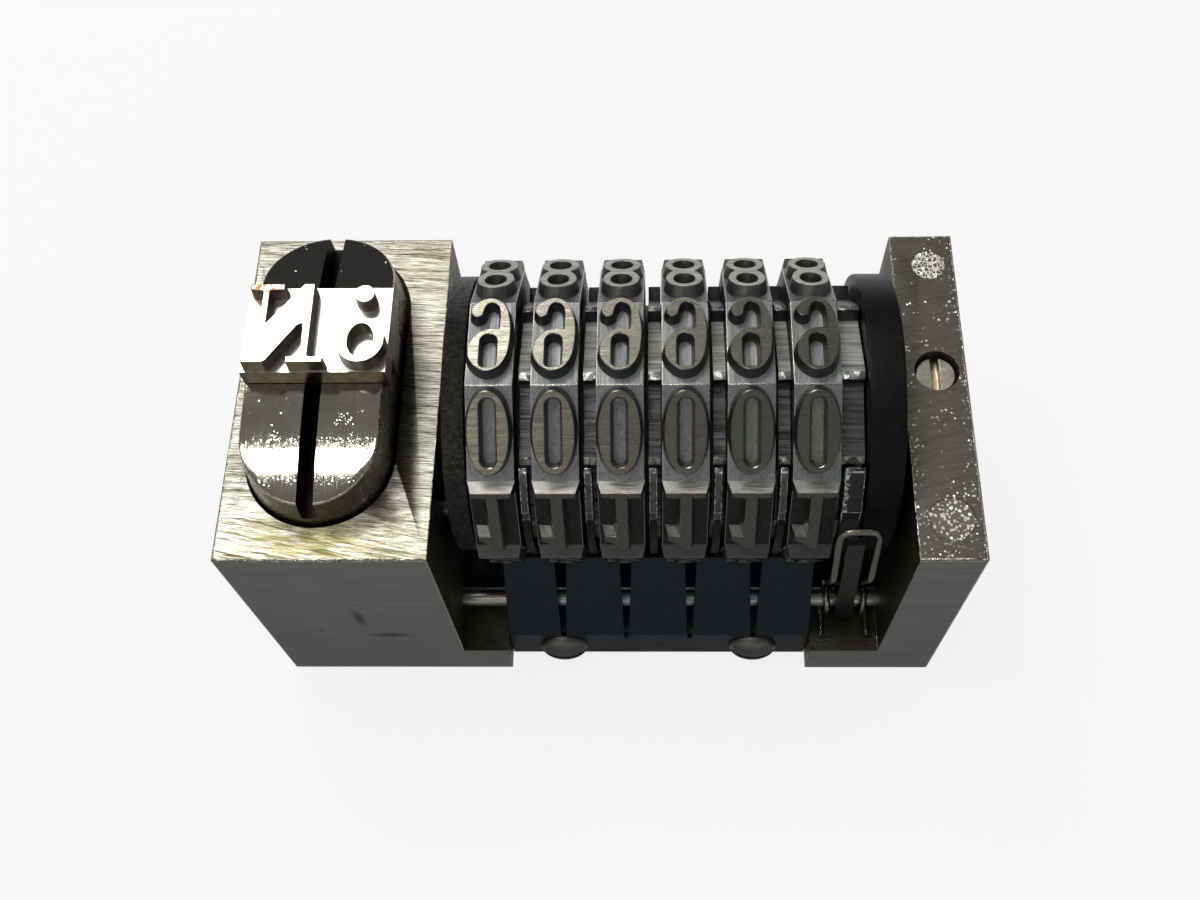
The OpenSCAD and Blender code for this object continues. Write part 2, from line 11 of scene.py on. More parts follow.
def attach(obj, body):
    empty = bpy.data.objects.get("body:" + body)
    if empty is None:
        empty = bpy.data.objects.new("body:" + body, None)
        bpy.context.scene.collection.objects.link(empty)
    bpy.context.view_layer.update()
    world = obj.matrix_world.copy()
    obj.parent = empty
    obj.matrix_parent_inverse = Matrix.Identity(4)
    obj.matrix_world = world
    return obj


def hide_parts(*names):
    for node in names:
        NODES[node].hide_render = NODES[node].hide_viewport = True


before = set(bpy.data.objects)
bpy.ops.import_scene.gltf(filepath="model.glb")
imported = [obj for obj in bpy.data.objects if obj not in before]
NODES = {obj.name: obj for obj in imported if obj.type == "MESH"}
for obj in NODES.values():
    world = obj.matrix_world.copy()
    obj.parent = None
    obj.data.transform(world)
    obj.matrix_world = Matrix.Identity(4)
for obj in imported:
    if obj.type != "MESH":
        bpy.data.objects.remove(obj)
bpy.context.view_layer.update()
MM = 0.001
random.seed(7)

# sizes in millimetres, the same as in the CAD part, with the origin under the middle of the body
HALF_W, HALF_D, HEIGHT = 20.3, 10.2, 18.3  # the body
CAV_L, CAV_R = -8.9, 16.7  # the sides of the open bay
YS, ZS = 0.25, 15.06  # the main shaft
PITCH, BAND, GROOVE, TOOTH_W = 3.4, 2.482, 0.2006, 0.6774  # one wheel along the shaft
STACK_L, UNIT_X, UNIT_W = -6.81, 12.712, 1.3  # the left of the first wheel, the units ratchet
APO, RAT, ROOT, RELIEF = 7.8, 7.2, 6.45, 0.7  # flats, tips and roots of the ratchet, figures
FACETS = 10
STEP = 360 // FACETS
PL_X, CROWN_Z, SLIDE_Z = -15.1, 21.5, 22.62  # the plunger's axis, its crown, the top of the slide
CHEEK, ROD_Y, ROD_Z = 7.85, -7.1, 4.62  # the cheeks' radius, the retainer rod
COMB_MID, SCREW_X, SCREW_Z = 3.16, 5.94, 1.7  # the comb's middle, its screws from there
WHEELS = ["hundred_thousands", "ten_thousands", "thousands", "hundreds", "tens", "units"]


# ---- materials
class Tree:
    """The node tree of a material or a world, with short ways to add nodes."""

    def __init__(self, owner):
        owner.use_nodes = True
        self.t = owner.node_tree

    def feed(self, socket, v):
        """Gives an input a value or the output of another node."""
        if isinstance(v, bpy.types.NodeSocket):
            self.t.links.new(v, socket)
        elif socket.type == "RGBA":
            socket.default_value = (*v, 1.0)
        else:
            socket.default_value = v

    def node(self, kind, ins=None, **props):
        n = self.t.nodes.new(kind)
        for k, v in props.items():
            setattr(n, k, v)
        for k, v in (ins or {}).items():
            self.feed(n.inputs[k], v)
        return n

    def ramp(self, fac, a, b, lo=0.0, hi=1.0):
        return self.node("ShaderNodeMapRange", {
            "Value": fac, "From Min": a, "From Max": b, "To Min": lo, "To Max": hi}).outputs["Result"]

    def math(self, op, first, *rest):
        for v in rest:
            first = self.node("ShaderNodeMath", {0: first, 1: v}, operation=op).outputs[0]
        return first

    def times(self, *values):
        return self.math("MULTIPLY", *values)

    def plus(self, *values):
        return self.math("ADD", *values)

    def most(self, *values):
        return self.math("MAXIMUM", *values)


class Mat(Tree):
    """A principled material. All textures are in millimetres of the object's own space."""

    def __init__(self, name, metallic=1.0, rough=0.35):
        self.m = bpy.data.materials.new(name)
        super().__init__(self.m)
        self.b = self.t.nodes["Principled BSDF"]
        self.set("Metallic", metallic)
        self.rough(rough)
        self.coord = self.t.nodes.new("ShaderNodeTexCoord").outputs["Object"]

    def place(self, scale, turn=(0, 0, 0), shift=(0, 0, 0)):
        """Texture coordinates. The scale is features per millimetre, for each axis or for all three."""
        scale = scale if isinstance(scale, tuple) else (scale,) * 3
        return self.node("ShaderNodeMapping", {
            "Vector": self.coord, "Scale": [MM / s for s in scale], "Location": [c * MM for c in shift],
            "Rotation": [math.radians(a) for a in turn]}, vector_type="TEXTURE").outputs["Vector"]

    def noise(self, scale, detail=3.0, rough=0.6, turn=(0, 0, 0), shift=(0, 0, 0)):
        return self.node("ShaderNodeTexNoise", {
            "Vector": self.place(scale, turn, shift), "Scale": 1.0, "Detail": detail,
            "Roughness": rough}).outputs["Fac"]

    def cells(self, size, feature="F1"):
        ins = {"Vector": self.place(size), "Scale": 1.0}
        return self.node("ShaderNodeTexVoronoi", ins, feature=feature).outputs["Distance"]

    def mix(self, fac, a, b):
        n = self.node("ShaderNodeMix", data_type="RGBA")
        for socket, v in zip([i for i in n.inputs if i.enabled], (fac, a, b)):
            self.feed(socket, v)
        return [o for o in n.outputs if o.enabled][0]

    def axis(self, which):
        """A coordinate in millimetres."""
        return self.node("ShaderNodeSeparateXYZ", {"Vector": self.place(1)}).outputs[which]

    def spot(self, centre, radius, soft, squeeze=(1, 1, 1)):
        """1 inside a ball, 0 outside, with a soft edge."""
        p = self.place(squeeze, shift=centre)
        d = self.node("ShaderNodeVectorMath", {"Vector": p}, operation="LENGTH").outputs["Value"]
        return self.ramp(d, radius + soft, radius - soft)

    def set(self, name, v):
        self.feed(self.b.inputs[name], v)

    def colour(self, c):
        self.set("Base Color", c)

    def rough(self, r):
        self.set("Roughness", r)

    def bump(self, height, depth, after=None):
        ins = {"Height": height, "Distance": depth * MM}
        if after is not None:
            ins["Normal"] = after
        n = self.node("ShaderNodeBump", ins).outputs["Normal"]
        self.set("Normal", n)
        return n

    def facets(self, size, tilt, mask=None, after=None):
        """Small flat grains, each leaning its own way, so that some of them catch a light."""
        cell = self.node("ShaderNodeTexVoronoi", {"Vector": self.place(size), "Scale": 1.0})
        amount = self.times(1.0 if mask is None else mask, tilt)
        if after is None:
            after = self.node("ShaderNodeNewGeometry").outputs["Normal"]
        vector = lambda op, ins: self.node("ShaderNodeVectorMath", ins, operation=op).outputs[0]
        lean = vector("SUBTRACT", {0: cell.outputs["Color"], 1: (0.5, 0.5, 0.5)})
        lean = vector("SCALE", {0: lean, "Scale": amount})
        n = vector("NORMALIZE", {0: vector("ADD", {0: after, 1: lean})})
        self.set("Normal", n)


def ground(name, light, dark, rough, along, turn, coarse, depth, metallic=1.0):
    """Ground or milled metal: fine and coarse lines along one axis, and patches."""
    m = Mat(name, metallic=metallic)

    def stretched(slow, quick):
        return tuple(slow if a == along else quick for a in "XYZ")
    fine = m.noise(stretched(0.45, 14), 4, 0.7, (0, 0, turn))
    wide = m.noise(stretched(0.22, 4.2), 3, 0.65, (0, 0, turn * 1.6), (3, 1, 2))
    patches = m.noise(0.35, 2, 0.5)
    lines = m.plus(m.times(fine, 1 - coarse), m.times(wide, coarse))
    col = m.mix(m.ramp(lines, 0.4, 0.6), dark, light)
    m.colour(m.mix(m.ramp(patches, 0.35, 0.75, 0.0, 0.22), col, dark))
    m.rough(m.ramp(lines, 0.42, 0.62, rough[1], rough[0]))
    m.bump(lines, depth * 4)
    return m.m


def plain(name, colour, second, rough, mottle=0.5, grain=2, depth=0.004, lines=9, grains=None):
    """Machined or blued metal with soft mottling in a second colour and a fine grain."""
    m = Mat(name)
    a = m.noise(grain, 4, 0.65)
    fine = m.noise(lines, 3, 0.7)
    col = m.mix(m.times(m.ramp(a, 0.3, 0.72), mottle), colour, second)
    m.colour(m.mix(m.ramp(fine, 0.45, 0.7, 0.0, 0.25), col, second))
    m.rough(m.ramp(m.plus(a, fine), 0.7, 1.3, max(0.04, rough - 0.1), rough + 0.12))
    n = m.bump(fine, depth * 4)
    if grains:
        m.facets(*grains, after=n)
    return m.m


def milled_top():
    """The top of the plunger block: cream nickel over coarse milling marks that lean at the front."""
    m = Mat("block_top")
    straight = m.noise((0.3, 13, 13), 4, 0.72, (0, 0, -2))
    wide = m.noise((0.16, 3.6, 3.6), 3, 0.65, (0, 0, -4), (3, 1, 2))
    lean = m.noise((0.3, 7, 7), 4, 0.7, (0, 0, -13), (1, 7, 2))
    front = m.ramp(m.axis(1), -5.5, -9.0)
    hair = m.noise((0.9, 26, 26), 3, 0.75, (0, 0, -3), (5, 5, 5))
    lines = m.plus(m.times(straight, 0.4), m.times(wide, 0.25), m.times(hair, 0.35))
    lines = m.plus(m.times(lines, m.ramp(front, 0, 1, 1.0, 0.45)),
                   m.times(lean, m.ramp(front, 0, 1, 0.0, 0.55)))
    deep = m.ramp(m.noise((0.7, 15, 15), 4, 0.78, (0, 0, -5), (8, 3, 1)), 0.4, 0.45)
    col = m.mix(m.ramp(lines, 0.435, 0.52), (0.2, 0.17, 0.11), (1.0, 0.975, 0.87))
    col = m.mix(m.ramp(deep, 0, 1, 0.75, 0.0), col, (0.1, 0.085, 0.055))
    warm = m.ramp(m.noise(0.5, 3, 0.6), 0.5, 0.8)
    col = m.mix(m.times(warm, 0.35), col, (0.62, 0.54, 0.36))
    streaky = m.ramp(m.noise((0.7, 3, 3), 4, 0.7), 0.36, 0.58)
    # stains, with the third a painted dark reflection: colour, centre, radius, soft edge, squeeze and
    # strength
    for colour, centre, radius, soft, squeeze, amount in (
            ((0.5, 0.43, 0.12), (-14.2, -9.3, HEIGHT), 2.4, 1.8, (0.55, 1.3, 1), 0.5),
            ((0.3, 0.26, 0.08), (-15.6, -8.6, HEIGHT), 1.4, 1.0, (0.6, 1.2, 1), 0.9),
            # painted reflection: the plunger's dark mirror image in the block top, right of its front
            ((0.1, 0.085, 0.06), (-10.9, -6.6, HEIGHT), 1.5, 1.6, (1.2, 0.7, 1), 0.8),
            ((0.45, 0.38, 0.2), (-10.3, 8.6, HEIGHT), 1.2, 1.2, (0.8, 1, 1), 0.5)):
        mask = m.times(m.spot(centre, radius, soft, squeeze), streaky)
        col = m.mix(m.times(mask, amount), col, colour)
    pit = m.times(m.ramp(m.cells(4), 0.2, 0.1), m.spot((-10.6, -1.0, HEIGHT), 0.9, 0.8))
    m.colour(m.mix(m.times(pit, 0.85), col, (0.12, 0.1, 0.06)))
    m.rough(m.ramp(lines, 0.4, 0.56, 0.5, 0.3))
    m.bump(m.math("SUBTRACT", lines, m.times(pit, 0.6)), 0.05)
    return m.m


def wall_top():
    """The top of the right wall: warm grey nickel with fine slanted scratches and bright dots."""
    m = Mat("wall_top")
    fine = m.noise((0.5, 12, 12), 4, 0.7, (0, 0, 12))
    wide = m.noise((0.35, 2.4, 2.4), 3, 0.6, (0, 0, 16), (2, 2, 2))
    lines = m.plus(m.times(fine, 0.5), m.times(wide, 0.5))
    # painted shade: this top is coloured darker than the block top, for the dimmer light that falls on it
    col = m.mix(m.ramp(lines, 0.42, 0.58), (0.26, 0.24, 0.195), (0.45, 0.42, 0.35))
    dots = m.ramp(m.cells(4.2), 0.34, 0.22)
    keep = m.most(m.spot((18.6, -7.85, HEIGHT), 1.2, 0.9),
                  m.spot((16.75, -7.0, HEIGHT), 0.25, 0.25, (1, 0.1, 1)),
                  m.spot((20.2, 0.0, HEIGHT), 0.2, 0.25, (1, 0.02, 1)),
                  m.ramp(m.noise(1.6, 2, 0.6, shift=(5, 5, 5)), 0.57, 0.62))
    dots = m.times(dots, keep)
    # painted glints: the dots are near-white and less metallic, so they stay bright under any light;
    # the facets also tilt them to catch the lamps
    m.set("Metallic", m.ramp(dots, 0, 1, 1.0, 0.35))
    m.colour(m.mix(dots, col, (1.0, 0.98, 0.9)))
    m.rough(m.ramp(lines, 0.42, 0.62, 0.42, 0.28))
    m.facets(5.0, 0.9, dots, m.bump(lines, 0.018))
    return m.m


def front_face():
    """The front and the back: brushed warm grey, darker towards the foot, with gouges in front."""
    m = Mat("outer_side")
    fine = m.noise((0.35, 9, 9), 4, 0.7, (0, 1.2, 0))
    wide = m.noise((0.2, 1.6, 1.6), 3, 0.6, (0, 3, 0), (4, 1, 2))
    lines = m.plus(m.times(fine, 0.5), m.times(wide, 0.5))
    col = m.mix(m.ramp(lines, 0.38, 0.64), (0.47, 0.455, 0.425), (0.58, 0.565, 0.53))
    fall = m.times(m.ramp(m.axis(2), 17.5, 3.0), 0.55)
    col = m.mix(fall, col, (0.34, 0.33, 0.315))
    gouges = m.most(m.spot((-14.2, -HALF_D, 9.6), 0.26, 0.14, (1, 1, 0.22)),
                    m.spot((-12.9, -HALF_D, 6.5), 0.34, 0.2, (0.36, 1, 0.9)),
                    m.spot((-16.9, -HALF_D, 7.2), 0.13, 0.1))
    m.colour(m.mix(m.times(gouges, 0.75), col, (0.1, 0.095, 0.085)))
    m.rough(m.ramp(lines, 0.42, 0.6, 0.5, 0.38))
    n = m.bump(lines, 0.008)
    m.bump(m.math("SUBTRACT", 1.0, gouges), 0.12, after=n)
    return m.m


TOP_LEFT, TOP_RIGHT, SIDE = milled_top(), wall_top(), front_face()
SIDE_X = ground("outer_side_x", (0.5, 0.48, 0.43), (0.32, 0.31, 0.28), (0.34, 0.5), "Y", 1, 0.35, 0.004)
# painted shade: the faces inside the bay are coloured very dark olive for the shade that falls there
SHADED_INNER = plain("casting_inner_painted_shade", (0.12, 0.115, 0.095), (0.06, 0.052, 0.025), 0.5, mottle=0.8, grain=0.7,
              lines=(2, 12, 12), depth=0.01)
# painted highlight and wear: the rounded outer edges are near-white for their bright highlights as well as
# wear
EDGE_WEAR_SHEEN = plain("worn_edge_and_sheen", (1.0, 0.97, 0.86), (0.35, 0.31, 0.22), 0.3, mottle=0.55, grain=3.2, lines=4,
             depth=0.02, grains=(4.5, 0.8))


# ---- mesh helpers
def link(ob):
    bpy.context.scene.collection.objects.link(ob)
    return ob


def baked(ob):
    """Puts what the modifiers do into the mesh."""
    evaluated = ob.evaluated_get(bpy.context.evaluated_depsgraph_get())
    ob.data = bpy.data.meshes.new_from_object(evaluated)
    ob.modifiers.clear()
    return ob


@contextmanager
def edited(ob):
    """Opens an object's mesh for editing."""
    bm = bmesh.new()
    bm.from_mesh(ob.data)
    yield bm
    bm.to_mesh(ob.data)
    bm.free()


def place_node(ob, node, body_name, smooth=32):
    """Sets a piece in the place of its CAD node, on its body. Its faces are smooth, with sharp edges over
    the angle `smooth` and normals that lean to the large faces."""
    for p in ob.data.polygons:
        p.use_smooth = True
    ob.data.set_sharp_from_angle(angle=math.radians(smooth))
    mod = ob.modifiers.new("normals", "WEIGHTED_NORMAL")
    mod.weight, mod.keep_sharp = 100, True
    baked(ob)
    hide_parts(node)
    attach(ob, body_name)


def mesh(name, verts, faces, mats, face_mats=None):
    """Points in millimetres."""
    me = bpy.data.meshes.new(name)
    me.from_pydata([[c * MM for c in v] for v in verts], [], faces)
    for m in mats:
        me.materials.append(m)
    if face_mats:
        for p, k in zip(me.polygons, face_mats):
            p.material_index = k
    me.update()
    return link(bpy.data.objects.new(name, me))


def join(name, obs):
    """One mesh from several, with their material slots kept."""
    mats, bm = [], bmesh.new()
    for o in obs:
        index = []
        for m in o.data.materials:
            if m not in mats:
                mats.append(m)
            index.append(mats.index(m))
        for p in o.data.polygons:
            p.material_index = index[p.material_index]
        bm.from_mesh(o.data)
        bpy.data.objects.remove(o)
    ob = mesh(name, [], [], mats)
    bm.to_mesh(ob.data)
    bm.free()
    return ob


def bevel(ob, width, angle=30, edge_mat=None, pick=lambda a, b: True):
    """Rounds sharp edges. pick(a, b) may choose them by their ends, in millimetres."""
    with edited(ob) as bm:
        sharp = [e for e in bm.edges if len(e.link_faces) == 2 and e.calc_face_angle(0) > math.radians(angle)
                 and pick(*[v.co / MM for v in e.verts])]
        k = -1
        if edge_mat is not None:
            ob.data.materials.append(edge_mat)
            k = len(ob.data.materials) - 1
        if sharp:
            bmesh.ops.bevel(bm, geom=sharp, offset=width * MM, segments=2, profile=0.5,
                            affect="EDGES", clamp_overlap=True, material=k)
    return ob


def boolean(ob, cutter):
    """Cuts the second object out of the first."""
    mod = ob.modifiers.new("cut", "BOOLEAN")
    mod.operation = "DIFFERENCE"
    mod.solver = "EXACT"
    mod.object = cutter
    baked(ob)
    bpy.data.objects.remove(cutter)
    return ob


def from_node(node, mats):
    """A copy of a CAD node's mesh to work on, with doubles welded and flat neighbours merged."""
    me = NODES[node].data.copy()
    me.name = node + "_detail"
    me.materials.clear()
    for m in mats:
        me.materials.append(m)
    ob = link(bpy.data.objects.new(node + "_detail", me))
    with edited(ob) as bm:
        bmesh.ops.remove_doubles(bm, verts=bm.verts, dist=1.5e-6)
        bmesh.ops.dissolve_limit(bm, angle_limit=math.radians(0.6), verts=bm.verts, edges=bm.edges)
    return ob


def box_mesh(name, lo, hi, mats=()):
    v = [(x, y, z) for x in (lo[0], hi[0]) for y in (lo[1], hi[1]) for z in (lo[2], hi[2])]
    f = [(0, 1, 3, 2), (4, 6, 7, 5), (0, 4, 5, 1), (2, 3, 7, 6), (0, 2, 6, 4), (1, 5, 7, 3)]
    return mesh(name, v, f, mats)


def outward(ob, weld=None):
    """Turns every face outward, after a weld of points that lie within `weld` metres."""
    with edited(ob) as bm:
        if weld:
            bmesh.ops.remove_doubles(bm, verts=bm.verts, dist=weld)
        bmesh.ops.recalc_face_normals(bm, faces=bm.faces)
    return ob


def lathe(name, profile, centre, axis, mats, seg=96):
    """Turns (radius, height) points round an axis through the centre. It closes where the radius is 0."""
    ax = "XYZ".index(axis)
    u, w = [i for i in range(3) if i != ax]
    verts, faces, rows = [], [], []
    for r, h in profile:
        row = []
        for i in range(1 if r < 1e-6 else seg):
            p = [0, 0, 0]
            p[ax] = centre[ax] + h
            p[u] = centre[u] + r * math.cos(2 * math.pi * i / seg)
            p[w] = centre[w] + r * math.sin(2 * math.pi * i / seg)
            row.append(len(verts))
            verts.append(p)
        rows.append(row)
    for a, b in zip(rows, rows[1:]):
        for i in range(seg):
            j = (i + 1) % seg
            q = list(dict.fromkeys([a[i % len(a)], a[j % len(a)], b[j % len(b)], b[i % len(b)]]))
            if len(q) > 2:
                faces.append(q)
    return outward(mesh(name, verts, faces, mats), weld=1e-7)


def tube(name, pts, r, mats):
    """A wire along a smooth path of points, with round ends."""
    verts, faces, rows, sides = [], [], [], 14
    n = (pts[1] - pts[0]).normalized().orthogonal().normalized()
    turns = [2 * math.pi * k / sides for k in range(sides)]
    for i, p in enumerate(pts):
        along = (pts[min(i + 1, len(pts) - 1)] - pts[max(i - 1, 0)]).normalized()
        n = (n - along * n.dot(along)).normalized()
        side = along.cross(n)
        rows.append([len(verts) + k for k in range(sides)])
        verts += [tuple(p + r * (math.cos(a) * n + math.sin(a) * side)) for a in turns]
    for a, b in zip(rows, rows[1:]):
        faces += [(a[k], a[(k + 1) % sides], b[(k + 1) % sides], b[k]) for k in range(sides)]
    for row, p, d in ((rows[0], pts[0], pts[0] - pts[1]), (rows[-1], pts[-1], pts[-1] - pts[-2])):
        tip = len(verts)
        verts.append(tuple(p + d.normalized() * r * 0.45))
        for k in range(sides):
            f = (row[k], row[(k + 1) % sides], tip)
            faces.append(f if row is rows[-1] else f[::-1])
    return mesh(name, verts, faces, mats)


def shape(points, per=5):
    """A closed smooth curve through 2-D points. A point with a third value stays a corner."""
    n, out = len(points), []
    for i, p1 in enumerate(points):
        p0, p2, p3 = points[i - 1], points[(i + 1) % n], points[(i + 2) % n]
        corner1, corner2 = len(p1) > 2, len(p2) > 2
        if corner1 and corner2:
            out.append(p1[:2])
            continue
        for t in [k / per for k in range(per)]:
            q = []
            for d in (0, 1):
                m1 = p2[d] - p1[d] if corner1 else (p2[d] - p0[d]) / 2
                m2 = p2[d] - p1[d] if corner2 else (p3[d] - p1[d]) / 2
                q.append((2 * t**3 - 3 * t**2 + 1) * p1[d] + (t**3 - 2 * t**2 + t) * m1
                         + (-2 * t**3 + 3 * t**2) * p2[d] + (t**3 - t**2) * m2)
            out.append(tuple(q))
    return out


def area(poly):
    return 0.5 * sum(a[0] * b[1] - b[0] * a[1] for a, b in zip(poly, poly[1:] + poly[:1]))


def grow(poly, d):
    """Moves an outline out by d (in for a negative d), each corner along its mitre."""
    s, out = 1 if area(poly) > 0 else -1, []
    for i, p in enumerate(poly):
        a, p, b = Vector(poly[i - 1]), Vector(p), Vector(poly[(i + 1) % len(poly)])
        e1, e2 = (p - a).normalized(), (b - p).normalized()
        n1, n2 = Vector((e1.y, -e1.x)) * s, Vector((e2.y, -e2.x)) * s
        m = n1 + n2
        if m.length < 1e-6:
            m = n1
        m.normalize()
        out.append(tuple(p + m * (d / max(0.45, m.dot(n1)))))
    return out


def oval(cx, cy, rx, ry, n=40, power=2.0):
    def bent(v):
        return math.copysign(abs(v) ** (2 / power), v)
    turns = [2 * math.pi * i / n for i in range(n)]
    return [(cx + rx * bent(math.cos(a)), cy + ry * bent(math.sin(a))) for a in turns]


def slot_shape(cx, cy, w, h, r, r_low):
    """An upright rounded slot with corners of radius r above and r_low below."""
    out, n = [], 6
    for x, y, rr, a0 in ((cx + w / 2, cy + h / 2, r, 0), (cx - w / 2, cy + h / 2, r, 90),
                         (cx - w / 2, cy - h / 2, r_low, 180), (cx + w / 2, cy - h / 2, r_low, 270)):
        sx, sy = -1 if x > cx else 1, -1 if y > cy else 1
        for k in range(n + 1):
            a = math.radians(a0 + 90 * k / n)
            out.append((x + sx * rr + rr * math.cos(a), y + sy * rr + rr * math.sin(a)))
    return out


def raised(name, outer, holes, height, draft, place, mats, sink=0.08, crown=0.03):
    """A raised character: top face, a small worn round, and drafted walls down past the ground.
    place(u, t, h) gives the point in space, and mats starts with face and wall."""
    loops = [(loop if area(loop) * sign > 0 else loop[::-1], sign)
             for loop, sign in [(outer, 1)] + [(hole, -1) for hole in holes]]
    levels = ((-crown * 1.2, height), (0, height - crown), (draft * 0.55, height * 0.5),
              (draft, 0.05), (draft * 1.25, -sink))
    verts, faces, kinds, tops = [], [], [], []
    for loop, sign in loops:
        rows, n = [], len(loop)
        for inset, h in levels:
            rows.append([len(verts) + i for i in range(n)])
            verts += [place(u, t, h) for u, t in grow(loop, inset * sign)]
        for k, (a, b) in enumerate(zip(rows, rows[1:])):
            faces += [(a[i], b[i], b[(i + 1) % n], a[(i + 1) % n]) for i in range(n)]
            kinds += [0 if k == 0 else 1] * n
        tops += rows[0]
    up = (Vector(place(0, 0, 1)) - Vector(place(0, 0, 0))).normalized()
    outlines = [[Vector((*p, 0)) for p in grow(loop, levels[0][0] * sign)] for loop, sign in loops]
    for triangle in tessellate_polygon(outlines):
        a, b, c = [tops[i] for i in triangle]
        pa, pb, pc = [Vector(verts[i]) for i in (a, b, c)]
        faces.append((a, b, c) if (pb - pa).cross(pc - pa).dot(up) > 0 else (a, c, b))
        kinds.append(0)
    ob = mesh(name, verts, faces, mats, kinds)

    def flat(edge):
        return len(edge.link_faces) == 2 and all(
            f.material_index == 0 and abs(f.normal.dot(up)) > 0.999 for f in edge.link_faces)
    with edited(ob) as bm:
        bmesh.ops.dissolve_limit(bm, angle_limit=math.radians(0.3), verts=[],
                                 edges=[e for e in bm.edges if flat(e)])
    return ob


# ---- the figures, as seen from outside
# u runs to the right (+X) and t towards rising angle. The figures stand upside down for printing.
def mirror(loop):
    return [(u, -t) for u, t in loop]


C = True  # marks a sharp corner
NINE = shape([
    (-1.0, 1.54), (-0.84, 1.82), (-0.39, 2.12), (0.13, 2.2), (0.65, 1.9), (0.93, 1.375), (1.08, 0.62),
    (1.1, -0.12), (0.97, -1.2), (0.58, -1.93), (0.02, -2.2), (-0.52, -2.05), (-0.95, -1.6), (-1.1, -1.04),
    (-0.97, -0.44), (-0.52, 0.13), (0.06, 0.33), (0.5, 0.3, C), (0.52, 0.5, C), (0.52, 1.29), (0.4, 1.72),
    (0.08, 1.93), (-0.22, 1.78), (-0.36, 1.4), (-0.42, 1.16), (-0.7, 1.03), (-0.95, 1.2)])
NINE_EYE = slot_shape(-0.02, -0.98, 0.92, 1.98, 0.45, 0.26)
ZERO = oval(0, 0, 1.1, 2.2, 56, 2.15)
ZERO_EYE = slot_shape(0, 0, 0.9, 3.66, 0.42, 0.42)
EIGHT = shape([
    (0, 2.2), (0.72, 1.95), (1.02, 1.25), (0.86, 0.6), (0.6, 0.2), (0.84, -0.22), (0.98, -1.0),
    (0.7, -1.86), (0, -2.2), (-0.7, -1.86), (-0.98, -1.0), (-0.84, -0.22), (-0.6, 0.2), (-0.86, 0.6),
    (-1.02, 1.25), (-0.72, 1.95)])
EIGHT_EYES = [oval(0, 1.2, 0.62, 0.7, 32), oval(0, -1.03, 0.6, 0.84, 32)]
ONE = shape([
    (-1.04, 2.2, C), (1.04, 2.2, C), (1.04, 1.86, C), (0.42, 1.78), (0.33, 1.6), (0.33, -2.1),
    (0.2, -2.2, C), (-0.06, -2.2, C), (-0.5, -1.8), (-0.92, -1.55), (-0.92, -1.2, C), (-0.3, -1.28, C),
    (-0.3, 1.6), (-0.42, 1.78), (-1.04, 1.86, C)], 4)
TWO = mirror(shape([
    (-1.1, -2.2, C), (1.1, -2.2, C), (1.1, -1.6, C), (-0.2, -1.62, C), (0.4, -0.8), (0.95, 0.1),
    (1.1, 0.95), (0.85, 1.75), (0, 2.2), (-0.8, 1.85), (-1.08, 1.2), (-0.85, 0.8), (-0.5, 0.92),
    (-0.42, 1.3), (-0.25, 1.72), (0.1, 1.8), (0.42, 1.5), (0.45, 0.9), (0.2, 0.1), (-0.5, -0.9),
    (-1.1, -1.75)]))
THREE = mirror(shape([
    (-1.05, 1.3), (-0.8, 1.95), (0, 2.2), (0.8, 1.9), (1.02, 1.2), (0.8, 0.5), (0.45, 0.15), (0.9, -0.25),
    (1.1, -1.0), (0.8, -1.85), (0, -2.2), (-0.85, -1.9), (-1.1, -1.2), (-0.8, -0.9), (-0.5, -1.2),
    (-0.3, -1.72), (0.1, -1.85), (0.46, -1.5), (0.48, -0.8), (0.3, -0.2), (-0.2, 0.0), (-0.2, 0.32),
    (0.25, 0.5), (0.42, 1.0), (0.36, 1.6), (0.05, 1.85), (-0.28, 1.7), (-0.4, 1.3), (-0.55, 1.0),
    (-0.9, 0.95)]))
FOUR = mirror([
    (-1.1, -1.25), (0.1, -1.25), (0.1, -2.2), (0.72, -2.2), (0.72, -1.25), (1.1, -1.25), (1.1, -0.78),
    (0.72, -0.78), (0.72, 2.2), (0.2, 2.2), (-1.1, -0.8)])
FOUR_EYE = mirror([(-0.5, -0.78), (0.1, -0.78), (0.1, 0.9)])
FIVE = mirror(shape([
    (-0.92, 0.05, C), (-0.92, 2.2, C), (0.95, 2.2, C), (0.95, 1.65, C), (-0.45, 1.65, C), (-0.45, 0.55, C),
    (0.1, 0.72), (0.8, 0.4), (1.1, -0.6), (0.95, -1.65), (0.2, -2.2), (-0.7, -2.0), (-1.1, -1.35),
    (-0.85, -1.0), (-0.5, -1.2), (-0.35, -1.7), (0.1, -1.85), (0.45, -1.4), (0.5, -0.6), (0.35, 0.05),
    (-0.05, 0.28), (-0.5, 0.0)]))
SIX = [(-u, -t) for u, t in NINE]
SIX_EYE = [(-u, -t) for u, t in NINE_EYE]
SEVEN = mirror(shape([
    (-1.05, 2.2, C), (1.1, 2.2, C), (1.1, 1.75, C), (0.6, 0.6), (0.25, -0.8), (0.12, -2.2, C),
    (-0.55, -2.2, C), (-0.35, -0.8), (0.1, 0.6), (0.55, 1.62, C), (-0.6, 1.62), (-0.78, 1.2, C),
    (-1.05, 1.2, C)]))
DIGITS = [(ZERO, [ZERO_EYE]), (ONE, []), (TWO, []), (THREE, []), (FOUR, [FOUR_EYE]), (FIVE, []),
          (SIX, [SIX_EYE]), (SEVEN, []), (EIGHT, EIGHT_EYES), (NINE, [NINE_EYE])]

